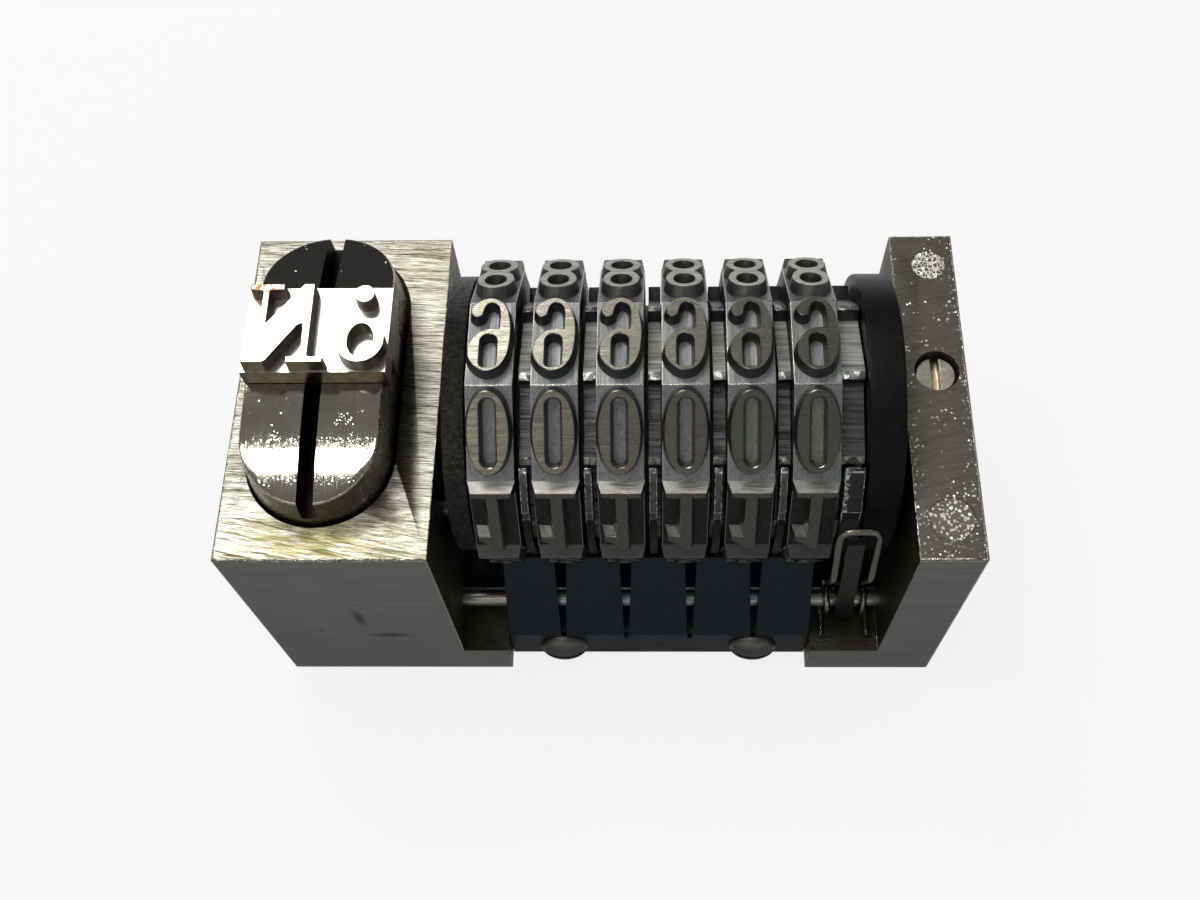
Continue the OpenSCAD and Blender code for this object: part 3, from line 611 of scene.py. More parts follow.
# ---- wheel materials
FIG_FACE = ground("figure_face", (0.42, 0.405, 0.35), (0.25, 0.24, 0.2), (0.14, 0.28), "X", 1, 0.4, 0.004)
# painted light: a lighter, less metallic copy of the figure face for the back eight, as lit
EIGHT_FACE = ground("figure_face_eight", (0.62, 0.62, 0.58), (0.34, 0.34, 0.31), (0.45, 0.6), "X", 1, 0.4,
                    0.008, metallic=0.5)
ONE_FACE = ground("figure_face_one", (0.34, 0.31, 0.26), (0.2, 0.185, 0.155), (0.25, 0.4), "Y", 1, 0.4,
                  0.006)
# painted shade: the figures' walls are a near-black navy for the shade between the raised figures
FIG_WALL = plain("figure_wall", (0.13, 0.14, 0.155), (0.16, 0.155, 0.14), 0.42)
# painted light: a lighter copy of the figure wall for the front one and the back eight, as lit
LIT_WALL = plain("figure_wall_painted_lit", (0.26, 0.26, 0.255), (0.13, 0.13, 0.125), 0.4, mottle=0.6,
                  lines=(9, 1.5, 1.5), depth=0.01)
# painted light: a lighter copy of the figure wall for the front zero, as lit
ZERO_WALL = plain("figure_wall_zero", (0.22, 0.235, 0.25), (0.14, 0.145, 0.15), 0.42)
# painted highlight: a lighter copy for the front one's walls that face up to the light
LIT_UP_WALL = plain("figure_up_walls_painted_lit", (0.55, 0.545, 0.51), (0.3, 0.3, 0.28), 0.36, lines=(1, 9, 9), depth=0.01)
FACET = ground("wheel_facet", (0.48, 0.505, 0.51), (0.28, 0.3, 0.31), (0.42, 0.6), "Y", 0, 0.4, 0.008)
# painted shade: a near-black copy of the facet colour for the band sides in shade
FACET_SHADE = ground("wheel_facet_painted_shade", (0.09, 0.095, 0.1), (0.05, 0.053, 0.057), (0.4, 0.6), "Y", 0, 0.4,
                    0.006)
W_SIDE = plain("wheel_side", (0.1, 0.105, 0.11), (0.05, 0.052, 0.055), 0.45, mottle=0.6, grain=1.4)
RATCH = ground("ratchet_flank", (0.26, 0.265, 0.26), (0.06, 0.062, 0.065), (0.3, 0.45), "X", 0, 0.6, 0.012)
RATCH_LIGHT = ground("ratchet_flank_light", (0.74, 0.75, 0.71), (0.22, 0.225, 0.215), (0.35, 0.5), "X", 0,
                     0.6, 0.016, metallic=0.45)
CREST = plain("ratchet_crest", (0.8, 0.79, 0.75), (0.4, 0.39, 0.35), 0.3, grain=3, grains=(4.5, 0.35))
EDGE_FINE = plain("figure_edge", (0.62, 0.62, 0.59), (0.3, 0.3, 0.28), 0.28, mottle=0.6, grain=4)


def rp(r, a):
    """Y and Z at radius r and angle a (degrees, up from the front) round the main shaft."""
    return (YS - r * math.cos(math.radians(a)), ZS + r * math.sin(math.radians(a)))


def drawn_out(n):
    """The sides and the two ends of an outline of n points that is drawn out."""
    sides = [(i, (i + 1) % n, n + (i + 1) % n, n + i) for i in range(n)]
    return sides, [tuple(range(n - 1, -1, -1)), tuple(range(n, 2 * n))]


def prism(name, outline, x0, x1, mats, side_mats=None, cap=0):
    """An outline in Y and Z drawn out along X."""
    verts = [(x, y, z) for x in (x0, x1) for y, z in outline]
    sides, ends = drawn_out(len(outline))
    return outward(mesh(name, verts, sides + ends, mats, list(side_mats or [0] * len(sides)) + [cap, cap]))


FIRST_FIGURE = 9  # the figure on top of the wheel in the photograph's pose
FRONT_ONE, FRONT_ZERO, BACK_EIGHT = 2, 1, 9  # facets that the photograph shows from near, seen from the nine
# the back eight's faces and these facets' walls take lighter, painted lit copies;
# the front one's faces take a darker copy
FIGURE_FACES = {FRONT_ONE: ONE_FACE, BACK_EIGHT: EIGHT_FACE}
FIGURE_WALLS = {FRONT_ZERO: ZERO_WALL, FRONT_ONE: LIT_WALL, BACK_EIGHT: LIT_WALL}
SHADED_SIDES = (0, 4)  # sides of the figure band painted dark as shade
BRIGHT_TEETH = (1, 5, 8)  # teeth whose long flanks get the lighter, less metallic flank colour
FIRST_TOOTH, LAND = 39.5, 3.6  # angle of the first tooth and width of its tip, in degrees
FIGURE_SHIFT = 0.15  # the figures sit a little high on their flats


def figure(index, middle, jitter):
    """One raised figure on its flat. The index counts facets down from the nine."""
    th = math.radians(90 - STEP * index)
    c, s = math.cos(th), math.sin(th)

    def place(u, t, h):
        r, q = APO + h, t + FIGURE_SHIFT
        return (middle + u, YS - c * r + s * q, ZS + s * r + c * q)
    outer, holes = DIGITS[(FIRST_FIGURE + index) % 10]
    moved = [[(u + jitter, t) for u, t in loop] for loop in [outer] + holes]
    mats = [FIGURE_FACES.get(index, FIG_FACE), FIGURE_WALLS.get(index, FIG_WALL), LIT_UP_WALL]
    ob = raised("figure", moved[0], moved[1:], RELIEF, 0.18 if index == FRONT_ONE else 0.13, place, mats)
    # painted highlight: the front one's walls that face up get the lighter copy
    if index == FRONT_ONE:
        for p in ob.data.polygons:
            if p.normal.z > 0.9:
                p.material_index = 2
    return ob


def wheel(index):
    """A number wheel: the band with its ten figures, a groove, and the ratchet with its ten teeth."""
    x0 = STACK_L + index * PITCH
    tooth_w, groove = (UNIT_W, 0.04) if WHEELS[index] == "units" else (TOOTH_W, GROOVE)
    sides = range(FACETS)
    corner_r = APO / math.cos(math.radians(STEP / 2))
    band = prism("band", [rp(corner_r, STEP * i) for i in sides], x0, x0 + BAND,
                   [FACET, W_SIDE, FACET_SHADE], [2 if i in SHADED_SIDES else 0 for i in sides], 1)
    outline, kinds = [], []
    for i in sides:
        a = FIRST_TOOTH + STEP * i
        outline += [rp(ROOT, a), rp(RAT, a), rp(RAT, a + LAND)]
        kinds += [2, 1, 3 if i in BRIGHT_TEETH else 0]
    left = x0 + BAND + groove
    ratchet = prism("ratchet", outline, left, left + tooth_w, [RATCH, CREST, W_SIDE, RATCH_LIGHT], kinds, 2)
    neck = lathe("neck", [(ROOT - 0.3, 0), (ROOT - 0.3, groove + 0.1)], (x0 + BAND - 0.05, YS, ZS), "X",
                 [W_SIDE], 60)
    parts = [bevel(band, 0.045, 20, EDGE_FINE), bevel(ratchet, 0.03, 24), neck]
    parts += [figure(i, x0 + BAND / 2, random.uniform(-0.03, 0.03)) for i in sides]
    name = "wheel_" + WHEELS[index]
    place_node(join(name + "_detail", parts), name, name + "_body", 28)


for k in range(len(WHEELS)):
    wheel(k)


# ---- body
def by_normal(ob, pick):
    """Sets each face's material slot from its centre and normal, in millimetres."""
    for p in ob.data.polygons:
        p.material_index = pick(p.center / MM, p.normal)


def frame_slot(c, n):
    """The slots are left top, right top, front and back, ends and underside, inside."""
    if n.z > 0.8 and c.z > HEIGHT - 0.3:
        return 0 if c.x < 0 else 1
    if abs(n.y) > 0.8 and abs(c.y) > HALF_D - 0.2:
        return 2
    if (abs(n.x) > 0.8 and abs(c.x) > HALF_W - 0.2) or (n.z < -0.8 and c.z < 0.2):
        return 3
    return 4


def outer_edge(a, b):
    """True for a long edge on the outline of the body or of its bay."""
    def planes(v):
        return (abs(abs(v.x) - HALF_W) < 0.32) + (abs(abs(v.y) - HALF_D) < 0.32) \
            + (v.z > HEIGHT - 0.3 or v.z < 0.05) + (abs(v.x - CAV_L) < 0.02 or abs(v.x - CAV_R) < 0.02)
    return (a - b).length > 1.0 and planes(a) >= 2 and planes(b) >= 2 and planes((a + b) / 2) >= 1


PLUNGER_R, PLUNGER_FRONT, PLUNGER_BACK = 4.0, -4.2, 5.2  # radius and the centres of the two round ends
WELL_R, WELL_FLOOR = 4.15, 4.4


def body():
    """The body from the CAD part. Its well is cut longer at the back, to fit the plunger below."""
    ob = from_node("frame", [TOP_LEFT, TOP_RIGHT, SIDE, SIDE_X, SHADED_INNER])
    arc = [math.pi * i / 40 for i in range(41)]
    well = [(PL_X + WELL_R * math.cos(a), PLUNGER_BACK + WELL_R * math.sin(a)) for a in arc]
    well += [(PL_X - 4.1, 3.0), (PL_X + 4.1, 3.0)]
    sides, ends = drawn_out(len(well))
    verts = [(x, y, z) for z in (WELL_FLOOR, HEIGHT + 2) for x, y in well]
    boolean(ob, mesh("well", verts, ends + sides, [SHADED_INNER]))
    by_normal(ob, frame_slot)
    bevel(ob, 0.05, 25, EDGE_WEAR_SHEEN, outer_edge)
    place_node(ob, "frame", "frame_body", 30)


body()


# ---- the other pieces
STEEL = ground("bright_steel", (0.7, 0.68, 0.62), (0.35, 0.34, 0.3), (0.2, 0.34), "X", 0, 0.3, 0.003)
BLUED = plain("blued", (0.016, 0.019, 0.022), (0.04, 0.038, 0.034), 0.42, mottle=0.6, grain=1.2, lines=14,
              depth=0.006)
BROWNED = plain("browned", (0.1, 0.096, 0.086), (0.02, 0.02, 0.02), 0.38, mottle=0.9, grain=3,
                lines=(2, 14, 14), depth=0.03, grains=(7, 0.6))
COMB = plain("comb_blued", (0.055, 0.066, 0.075), (0.04, 0.048, 0.055), 0.42, mottle=0.4, grain=0.4,
             lines=(14, 2, 2), depth=0.002)
PAWL = plain("pawl_steel", (0.04, 0.047, 0.052), (0.022, 0.025, 0.028), 0.38, mottle=0.7)
PAWL_HEAD = plain("pawl_head", (0.26, 0.265, 0.26), (0.05, 0.055, 0.06), 0.35, mottle=0.8, grain=2.5,
                  lines=(6, 6, 2), depth=0.015)
PAWL_EDGE = plain("pawl_edge", (1.0, 0.98, 0.92), (0.2, 0.2, 0.2), 0.28, mottle=0.8, grain=3.5,
                  grains=(5, 0.9))
WIRE = plain("spring_wire", (0.42, 0.4, 0.34), (0.24, 0.22, 0.17), 0.2, mottle=0.4)
DOME = plain("comb_screw_steel", (0.24, 0.235, 0.22), (0.14, 0.13, 0.115), 0.42, mottle=0.4, grain=1.4)
SCREW = plain("lock_screw_steel", (0.92, 0.89, 0.73), (0.75, 0.69, 0.53), 0.38, mottle=0.4, grain=3,
              lines=(2, 9, 9), depth=0.01)
SCREW_SLOT = plain("lock_screw_slot", (1.0, 0.9, 0.7), (0.4, 0.33, 0.22), 0.35, grain=3)


def crown_nickel():
    """The crown of the plunger: a fine mirror with upright brushing and bright specks."""
    m = Mat("crown")
    brush = m.noise((14, 0.5, 0.5), 3, 0.7)
    grit = m.noise(6, 3, 0.75, shift=(1, 2, 3))
    patch = m.noise(0.6, 3, 0.6)
    col = m.mix(m.ramp(patch, 0.35, 0.7, 0.0, 0.4), (0.76, 0.72, 0.6), (0.5, 0.46, 0.35))
    where = m.most(m.spot((-15.1, -4.7, 21.1), 0.25, 0.2, (0.05, 1, 1)),
                   m.spot((-15.1, -6.6, 20.8), 0.1, 0.25, (0.05, 1, 1)),
                   m.ramp(m.noise(0.8, 2, 0.6, shift=(4, 1, 9)), 0.6, 0.66))
    specks = m.times(m.ramp(m.cells(8.5), 0.38, 0.22), where)
    col = m.mix(specks, col, (1.0, 0.97, 0.86))
    # painted reflection: the back of the crown turns blue-grey for the dark that the polished crown mirrors
    # there
    back = m.ramp(m.axis(1), 3.6, 4.2)
    m.colour(m.mix(m.times(back, 0.4), col, (0.3, 0.34, 0.37)))
    m.rough(m.ramp(brush, 0.35, 0.65, 0.05, 0.11))
    n = m.bump(m.plus(m.times(brush, 0.2), m.times(grit, 0.3)), 0.003)
    m.facets(6.0, 0.7, specks, n)
    return m.m


def plug_nickel(name, feature, lo, hi):
    """The peened end of a plug: a bright net or bright grains on warm grey."""
    size = 4.2
    m = Mat(name)
    grain = m.ramp(m.cells(size, feature), lo, hi)
    # painted glints: the bright grains are near-white and less metallic, so they stay bright under any
    # light;
    # the facets also tilt them to catch the lamps
    m.set("Metallic", m.ramp(grain, 0, 1, 1.0, 0.3))
    m.colour(m.mix(grain, (0.42, 0.385, 0.31), (1.0, 0.98, 0.86)))
    m.rough(m.ramp(grain, 0, 1, 0.42, 0.25))
    m.facets(size * 1.3, 1.0, grain, m.bump(grain, 0.06))
    return m.m


CROWN = crown_nickel()
PLUNGER_WALL = plain("plunger_wall", (0.24, 0.225, 0.175), (0.11, 0.1, 0.078), 0.3, grain=(0.8, 0.8, 1.6),
                     lines=(6, 6, 1), depth=0.01)
RIM = plain("plunger_rim", (0.9, 0.86, 0.74), (0.35, 0.32, 0.25), 0.24, grain=2.5, lines=4, depth=0.03)
# painted shade: the inside of the plunger's slot is near-black for the shade in it; its back part takes a
# lighter copy
SLOT_SHADE = plain("slot_painted_shade", (0.03, 0.03, 0.028), (0.0135, 0.0135, 0.0126), 0.5, grain=1.4)
SLOT_BACK = plain("slot_back", (0.42, 0.38, 0.3), (0.15, 0.13, 0.1), 0.35, mottle=0.7)


def type_metal(name, colour, second, rough, rusty):
    """The metal of the type slide, with rust on the far left serif."""
    m = Mat(name)
    col = m.mix(m.ramp(m.noise(2, 3, 0.6), 0.4, 0.75), colour, second)
    rust = m.times(m.spot((-17.9, 3.5, 23.2), 1.0, 0.35, (0.8, 1.6, 1)),
                  m.ramp(m.noise(3, 3, 0.7, shift=(2, 5, 1)), 0.4, 0.52))
    m.colour(m.mix(m.times(rust, rusty), col, (0.62, 0.3, 0.1)))
    m.rough(m.ramp(rust, 0, 1, rough, 0.6))
    m.bump(m.noise(7, 3, 0.6), 0.006)
    return m.m


TYPE_FACE = type_metal("type_face", (1.0, 0.99, 0.96), (0.92, 0.89, 0.82), 0.28, 0.85)
# painted shade: the slide's walls are a dark brown copy of its near-white metal, for the shadows on them
TYPE_WALL_SHADE = type_metal("type_wall_painted_shade", (0.24, 0.2, 0.16), (0.11, 0.09, 0.07), 0.35, 0.15)


CROWN_R, CROWN_Y = 30.0, 0.4  # radius and middle of the crown's arc
CHAMFER_R, DRAFT = 0.12, 0.3  # the rounded rim, and how far the walls lean in
PIN_Z, SPRING_Y = 14.6, 4.6  # the drive pin in the cross slot, the plunger springs


def crown_at(y):
    return CROWN_Z - CROWN_R + math.sqrt(CROWN_R ** 2 - (y - CROWN_Y) ** 2)


def stadium(inset, height):
    """A ring of points round the plunger, with more points on its straight sides."""
    seg, straight, arcs = 48, 24, []
    for start, middle in ((0, PLUNGER_BACK), (math.pi, PLUNGER_FRONT)):
        arc = []
        for i in range(seg + 1):
            a = math.pi * i / seg + start
            y = middle + (PLUNGER_R - inset) * math.sin(a)
            arc.append((PL_X + (PLUNGER_R - inset) * math.cos(a), y, height(y)))
        arcs.append(arc)
    out = []
    for arc, after in (arcs, arcs[::-1]):
        (x0, y0, _), (x1, y1, _) = arc[-1], after[0]
        side = [(x0 + (x1 - x0) * k / straight, y0 + (y1 - y0) * k / straight) for k in range(1, straight)]
        out += arc + [(x, y, height(y)) for x, y in side]
    return out


def plunger():
    """The plunger: a stadium with a finely meshed crown and drafted walls, then its cuts."""
    wall_bands, rim_bands, rim_rings, crown_rings, spine_points = 2, 3, 4, 14, 25
    rings = [stadium(0, lambda y: 5.2), stadium(0, lambda y: 17.6),
             stadium(DRAFT, lambda y: crown_at(y) - CHAMFER_R)]
    for k in range(1, rim_rings + 1):
        a = math.pi / 2 * k / rim_rings
        rings.append(stadium(DRAFT + CHAMFER_R * (1 - math.cos(a)),
                             lambda y, a=a: crown_at(y) - CHAMFER_R + CHAMFER_R * math.sin(a)))
    rings += [stadium(DRAFT + CHAMFER_R + (PLUNGER_R - DRAFT - CHAMFER_R) * k / crown_rings, crown_at)
              for k in range(1, crown_rings)]
    n = len(rings[0])
    verts = [v for row in rings for v in row]
    faces, kinds = [tuple(range(n - 1, -1, -1))], [1]
    for k in range(len(rings) - 1):
        for i in range(n):
            faces.append((k * n + i, k * n + (i + 1) % n, (k + 1) * n + (i + 1) % n, (k + 1) * n + i))
            kinds.append(1 if k < wall_bands else 3 if k < wall_bands + rim_bands else 0)
    # the crown closes on a spine along its middle
    first, last = len(verts), (len(rings) - 1) * n
    length = PLUNGER_BACK - PLUNGER_FRONT
    spine = [PLUNGER_FRONT + length * k / (spine_points - 1) for k in range(spine_points)]
    verts += [(PL_X, y, crown_at(y)) for y in spine]
    for i in range(n):
        ends = (i, (i + 1) % n)
        a, b = [min(range(spine_points), key=lambda q: abs(spine[q] - verts[last + e][1])) for e in ends]
        faces.append(tuple(dict.fromkeys([last + ends[0], last + ends[1], first + b, first + a])))
        kinds.append(0)
    ob = mesh("plunger_detail", verts, faces, [CROWN, PLUNGER_WALL, SLOT_SHADE, RIM], kinds)
    wall = [PLUNGER_WALL]
    dovetail = [(-1.34, 22.5), (-1.34, 21), (0.4, 21), (0.05, 19.8), (2.55, 19.8), (2.2, 21), (3.94, 21),
                (3.94, 22.5)]
    cutters = [
        box_mesh("slot", (PL_X - 0.45, -HALF_D, CROWN_Z - 2.6), (PL_X + 0.45, HALF_D, CROWN_Z + 3), [SLOT_SHADE]),
        prism("seat", dovetail, PL_X - 6, PL_X + 6, wall),
        box_mesh("cross", (PL_X + 1.4, -6.27, PIN_Z - 1.7), (PL_X + 5.4, -3.82, PIN_Z + 0.2), wall),
        box_mesh("groove", (PL_X - 5, -0.86, 7.14), (PL_X - 2.8, 0.86, 12.46), wall)]
    bore = [(0, 4.2), (1.95, 4.2), (1.95, 12.5), (0, 12.5)]
    cutters += [lathe("bore", bore, (PL_X, y, 0), "Z", wall, 40) for y in (-SPRING_Y, SPRING_Y)]
    for cutter in cutters:
        boolean(ob, cutter)
    ob.data.materials.append(SLOT_BACK)
    # the slot's faces at the back take the lighter copy of the painted slot shade
    for p in ob.data.polygons:
        if p.material_index == 2 and p.center.y > 3.5 * MM:
            p.material_index = len(ob.data.materials) - 1
    place_node(ob, "plunger", "plunger_body", 34)


SIGN_N = [
    (-3.36, 3.58), (-3.36, 3.24), (-2.74, 3.2), (-2.66, 3.12), (-2.64, -0.8), (-2.7, -0.86), (-3.36, -0.88),
    (-3.36, -1.2), (-2.24, -1.2), (-2.06, -1.08), (-1.43, -0.13), (-0.66, 1.0), (-0.5, 1.12), (-0.34, 1.12),
    (-0.28, -0.78), (-0.34, -0.86), (-1.0, -0.88), (-1.0, -1.2), (0.89, -1.2), (0.89, -0.9), (0.14, -0.88),
    (0.07, -0.8), (0.03, 3.58), (-0.5, 3.58), (-2.24, 1.24), (-2.34, 1.14), (-2.36, 3.12), (-2.28, 3.22),
    (-1.56, 3.26), (-1.56, 3.58)]


def type_slide():
    """The type slide from the CAD part, with the raised numero sign drawn anew on its top."""
    ob = from_node("type_slide", [TYPE_FACE, TYPE_WALL_SHADE])
    boolean(ob, box_mesh("above", (PL_X - 6, -3, SLIDE_Z), (PL_X + 6, 6, 25), [TYPE_FACE]))
    # painted shade: faces that do not face up take the dark wall copy
    by_normal(ob, lambda c, n: 0 if n.z > 0.8 else 1)
    ring, eye = oval(2.75, 0.12, 1.27, 1.33, 64), oval(2.78, 0.1, 0.69, 1.02, 48)
    dot = oval(2.75, 2.96, 0.54, 0.52)
    signs = [raised("sign", outer, holes, 0.94, 0.03, lambda u, t, h: (PL_X + u, t, SLIDE_Z + h),
                    [TYPE_FACE, TYPE_WALL_SHADE], 0.06, 0.02)
             for outer, holes in ((SIGN_N, []), (ring, [eye]), (dot, []))]
    place_node(join("type_slide_detail", [ob] + signs), "type_slide", "type_slide_body", 30)


def plug(node, x, y, r, material):
    depth, worn = 2.9, 0.02
    profile = [(0, -depth), (r, -depth), (r, -worn), (r - worn, 0.0), (0, 0.0)]
    ob = lathe(node + "_detail", profile, (x, y, HEIGHT), "Z", [material], 48)
    place_node(ob, node, "frame_body")


def lock_screw():
    ob = from_node("shaft_lock_screw", [SCREW, SCREW_SLOT])
    by_normal(ob, lambda c, n: 1 if abs(c.x - 18.63) < 0.24 and 17 < c.z < 17.8 else 0)
    place_node(bevel(ob, 0.05, 40), "shaft_lock_screw", "frame_body")


def comb_screws():
    """The two comb screws, with the full domes that the photograph shows."""
    r, high, shank, length, steps, seat = 1.48, 0.88, 0.8, 3.8, 12, -9.24
    arc = [math.pi / 2 * k / steps for k in range(steps + 1)]
    profile = [(r * math.sin(a), -high * math.cos(a)) for a in arc]
    profile += [(shank, 0), (shank, length), (0, length)]
    screws = []
    for x in (COMB_MID - SCREW_X, COMB_MID + SCREW_X):
        ob = lathe("screw", profile, (x, seat, SCREW_Z), "Y", [DOME], 48)
        slot = box_mesh("slot", (x - 2, -11, SCREW_Z - 0.17), (x + 2, seat - 0.28, SCREW_Z + 0.17), [DOME])
        screws.append(boolean(ob, slot))
    place_node(join("comb_screws_detail", screws), "comb_screws", "frame_body", 40)


def units_steel():
    """The units pawl: blued, with a chewed bright edge on the left of its head."""
    m = Mat("units_pawl", rough=0.38)
    col = m.mix(m.ramp(m.noise(2, 4, 0.65), 0.3, 0.7), (0.1, 0.105, 0.102), (0.05, 0.057, 0.06))
    wander = m.ramp(m.noise(4, 2, 0.6), 0.3, 0.7, -0.1, 0.12)
    left = m.ramp(m.plus(m.axis(0), wander), 13.1, 13.02)
    edge = m.times(left, m.ramp(m.axis(2), 17.9, 18.1))
    chewed = m.ramp(m.noise(5, 2, 0.6, shift=(1, 1, 4)), 0.42, 0.54)
    grain = m.times(edge, chewed)
    m.colour(m.mix(grain, col, (1.0, 0.98, 0.9)))
    m.facets(5.5, 1.1, grain)
    return m.m


UNITS_STEEL = units_steel()


def pawl(which):
    """A retaining pawl. The five narrow ones have a paler head, and the edges of all heads are worn."""
    node = "pawl_" + which
    units = which == "units"
    ob = from_node(node, [UNITS_STEEL if units else PAWL, PAWL_HEAD])

    def kind(c, n):
        r = math.hypot(c.y - YS, c.z - ZS)
        return 1 if not units and r > 7.3 and c.z > 17.2 and n.y - n.z < 0.2 and abs(n.x) < 0.5 else 0
    by_normal(ob, kind)
    bevel(ob, 0.06, 30, PAWL_EDGE, lambda a, b: min(a.z, b.z) > 17.3 and max(a.y, b.y) < -4.5)
    place_node(ob, node, node + "_body")


def bow_spring():
    """The wire bow of the units pawl, on the same route as in the CAD part."""
    eye, turn, middle = 0.9, 470, UNIT_X + 1.26

    def side(x, climb, knee_x, bow_x):
        """From the tail round the coils on the rod, over the knee, to the corner of the bow."""
        pts = [Vector((x, ROD_Y - 2.2, ROD_Z - eye))]
        for i in range(41):
            a = math.radians(turn * i / 40)
            pts.append(Vector((x + climb * i / 40, ROD_Y + eye * math.sin(a), ROD_Z - eye * math.cos(a))))
        knee = Vector((knee_x, YS - CHEEK - 1.6, ZS - 2.06))
        bow = Vector((bow_x, YS - CHEEK - 0.51, ZS + 2.14))
        for a, b, c, r in ((pts[-1], knee, bow, 0.8), (knee, bow, Vector((middle, bow.y, bow.z)), 0.7)):
            p, q = b + r * (a - b).normalized(), b + r * (c - b).normalized()
            pts += [(1 - t) ** 2 * p + 2 * t * (1 - t) * b + t * t * q for t in [k / 8 for k in range(9)]]
        return pts
    left = side(UNIT_X + 0.49, 0.58, UNIT_X + 0.2, UNIT_X + 0.19)
    right = side(UNIT_X + 3.27, -0.58, UNIT_X + 2.27, UNIT_X + 2.34)
    wire = tube("units_pawl_spring_detail", left + right[::-1], 0.2, [WIRE])
    place_node(wire, "units_pawl_spring", "frame_body")


def dress(node, body_name, material, width):
    """A piece that keeps its CAD form, with edges rounded by the width."""
    place_node(bevel(from_node(node, [material]), width), node, body_name)


plunger()
type_slide()
plug("wall_plug_front", 18.6, -7.85, 1.2, plug_nickel("plug_grains", "F1", 0.48, 0.34))
plug("wall_plug_back", 18.79, 8.11, 0.95, plug_nickel("plug_net", "DISTANCE_TO_EDGE", 0.2, 0.1))
lock_screw()
bow_spring()
for w in WHEELS:
    pawl(w)
dress("swing_cheek_left", "swing", BROWNED, 0.12)
dress("swing_cheek_right", "swing", BLUED, 0.2)
dress("comb_spring", "frame_body", COMB, 0.03)
comb_screws()
dress("retainer_rod", "frame_body", STEEL, 0.04)
dress("main_shaft", "frame_body", STEEL, 0.08)
dress("shaft_collars", "frame_body", STEEL, 0.05)
dress("plunger_stop_screw", "frame_body", DOME, 0.05)
dress("drive_pin", "swing", STEEL, 0.04)
dress("drive_roller", "swing", STEEL, 0.06)
dress("pawl_rod", "swing", STEEL, 0.04)
dress("driving_pawl", "driving_pawl_body", PAWL, 0.03)
for node, body_name in (("plunger_springs", "frame_body"), ("driving_pawl_spring", "swing")):
    place_node(from_node(node, [WIRE]), node, body_name, 60)

# ---- floor, light, camera
PALE = Mat("floor", metallic=0.0, rough=0.9)
PALE.colour((0.12, 0.12, 0.12))
PALE.set("Specular IOR Level", 0.0)
PALE.set("Emission Color", (1, 1, 1))
PALE.set("Emission Strength", 0.83)
FAR = 1500
corners = [(-FAR, -FAR, 0), (FAR, -FAR, 0), (FAR, FAR, 0), (-FAR, FAR, 0)]
floor = mesh("floor", corners, [(0, 1, 2, 3)], [PALE.m])
wall = lathe("backdrop", [(FAR - 10, 0), (FAR - 10, FAR)], (0, 0, 0), "Z", [PALE.m], 64)
for ob in (floor, wall):
    ob.visible_glossy = False
    ob.visible_diffuse = False
wall.visible_shadow = False


def studio():
    """The room that the metal mirrors: grey above, dark low behind, a pale table below the horizon."""
    world = bpy.context.scene.world = bpy.data.worlds.new("studio")
    w = Tree(world)
    direction = w.node("ShaderNodeTexCoord").outputs["Generated"]
    _, y, z = w.node("ShaderNodeSeparateXYZ", {0: direction}).outputs
    dark = w.times(w.ramp(y, 0.35, 0.6, 0.0, 0.65), w.times(w.ramp(z, 0.8, 0.7), w.ramp(z, 0.0, 0.15)))
    sky = w.times(w.ramp(z, -0.02, 0.05, 0.0, 0.14), w.ramp(dark, 0, 1, 1, 0))
    table = w.times(w.ramp(z, -0.02, -0.08), w.ramp(y, -0.2, 0.6, 0.17, 0.95))
    low = w.times(w.ramp(z, 0.03, 0.08, 0.0, 0.4), w.ramp(z, 0.45, 0.35), w.ramp(y, -0.3, -0.6))
    bg = w.t.nodes["Background"]
    w.feed(bg.inputs["Color"], (0.96, 0.98, 1.0))
    w.feed(bg.inputs["Strength"], w.plus(sky, w.plus(table, low)))


studio()


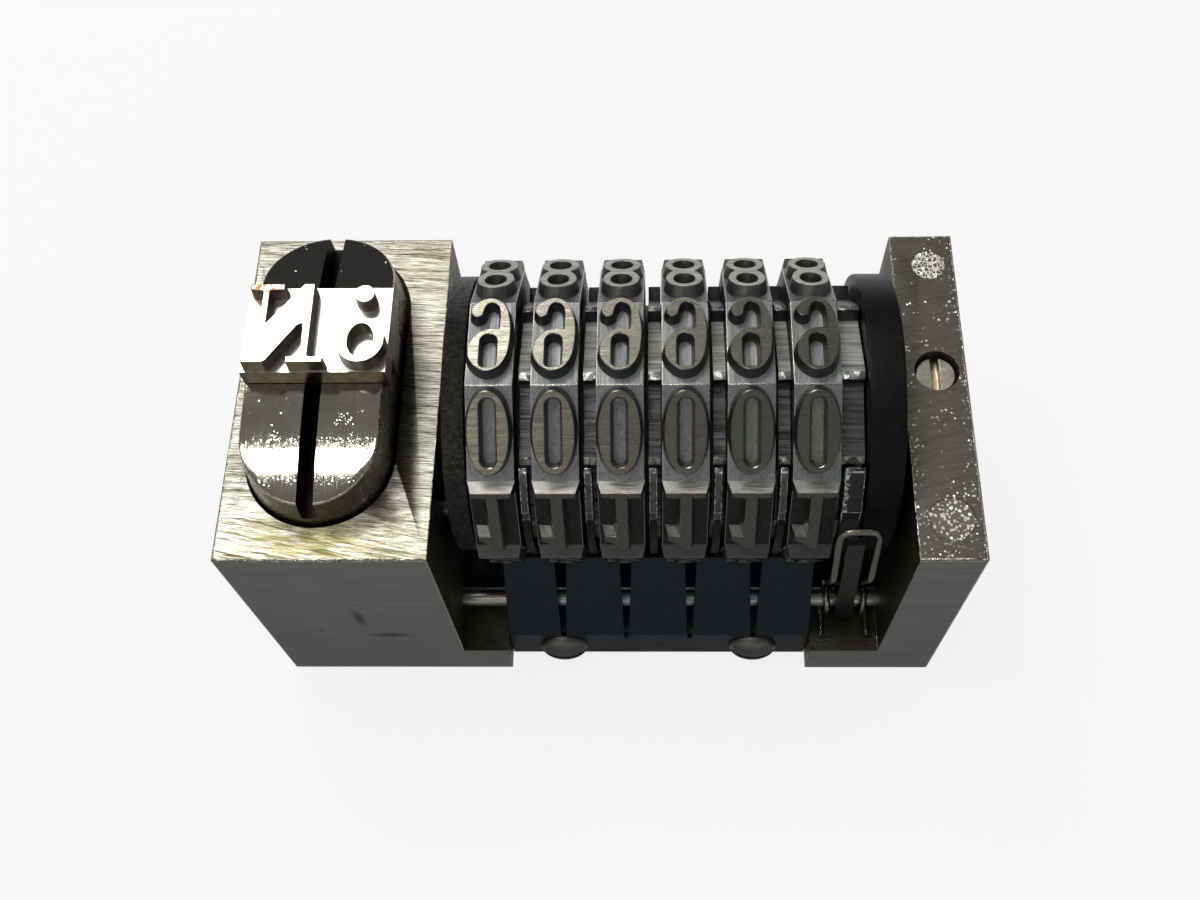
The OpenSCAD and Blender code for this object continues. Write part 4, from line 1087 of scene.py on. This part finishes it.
def light(name, low, high, z, radiance, colour=(1, 1, 1), tilt=0, glossy=True):
    """A soft box between two corners (X and Y in millimetres) at height z, shining down."""
    d = bpy.data.lights.new(name, "AREA")
    d.shape = "RECTANGLE"
    d.size, d.size_y = (high[0] - low[0]) * MM, (high[1] - low[1]) * MM
    d.energy = radiance * math.pi * d.size * d.size_y
    d.color = colour
    ob = link(bpy.data.objects.new(name, d))
    ob.location = Vector(((low[0] + high[0]) / 2, (low[1] + high[1]) / 2, z)) * MM
    ob.rotation_euler = (math.radians(tilt), 0, 0)
    ob.visible_glossy = glossy
    ob.visible_camera = False


light("key", (-190, 135), (-62, 240), 320, 8.6, (1.0, 0.975, 0.91))
light("key_edge", (-62, 135), (-20, 240), 320, 2.6, (1.0, 0.98, 0.93))
light("band", (-210, -3), (-10, 23), 320, 12.0, (1.0, 0.985, 0.94))
light("front_left", (-190, -250), (-40, -170), 225, 1.3, (1.0, 0.93, 0.76), tilt=45)
light("fill", (-600, -600), (600, 600), 700, 0.9, glossy=False)

# the camera that took the photograph: focal length in its pixels, shift, place and turns, by a fit
PHOTO_W, FOCAL, SENSOR = 1200, 1329.1, 36.0
SHIFT, EYE = (-0.0177, 0.00175), (3.2, -35.86, 82.54)
YAW, DOWN, ROLL = [math.radians(a) for a in (-3.58, 63.49, -3.4)]


def camera():
    cam = bpy.data.cameras.new("camera")
    cam.sensor_width = SENSOR
    cam.lens = FOCAL / PHOTO_W * SENSOR
    cam.shift_x, cam.shift_y = SHIFT
    cam.clip_start, cam.clip_end = 0.005, 10.0
    ob = link(bpy.data.objects.new("camera", cam))
    ahead = Vector((math.sin(YAW) * math.cos(DOWN), math.cos(YAW) * math.cos(DOWN), -math.sin(DOWN)))
    level = Vector((math.cos(YAW), -math.sin(YAW), 0))
    up = level.cross(ahead)
    x = math.cos(ROLL) * level + math.sin(ROLL) * up
    y = -math.sin(ROLL) * level + math.cos(ROLL) * up
    ob.matrix_world = Matrix([(x[i], y[i], -ahead[i], EYE[i] * MM) for i in range(3)] + [(0, 0, 0, 1)])
    bpy.context.scene.camera = ob


camera()
bpy.context.scene.view_settings.view_transform = "Standard"
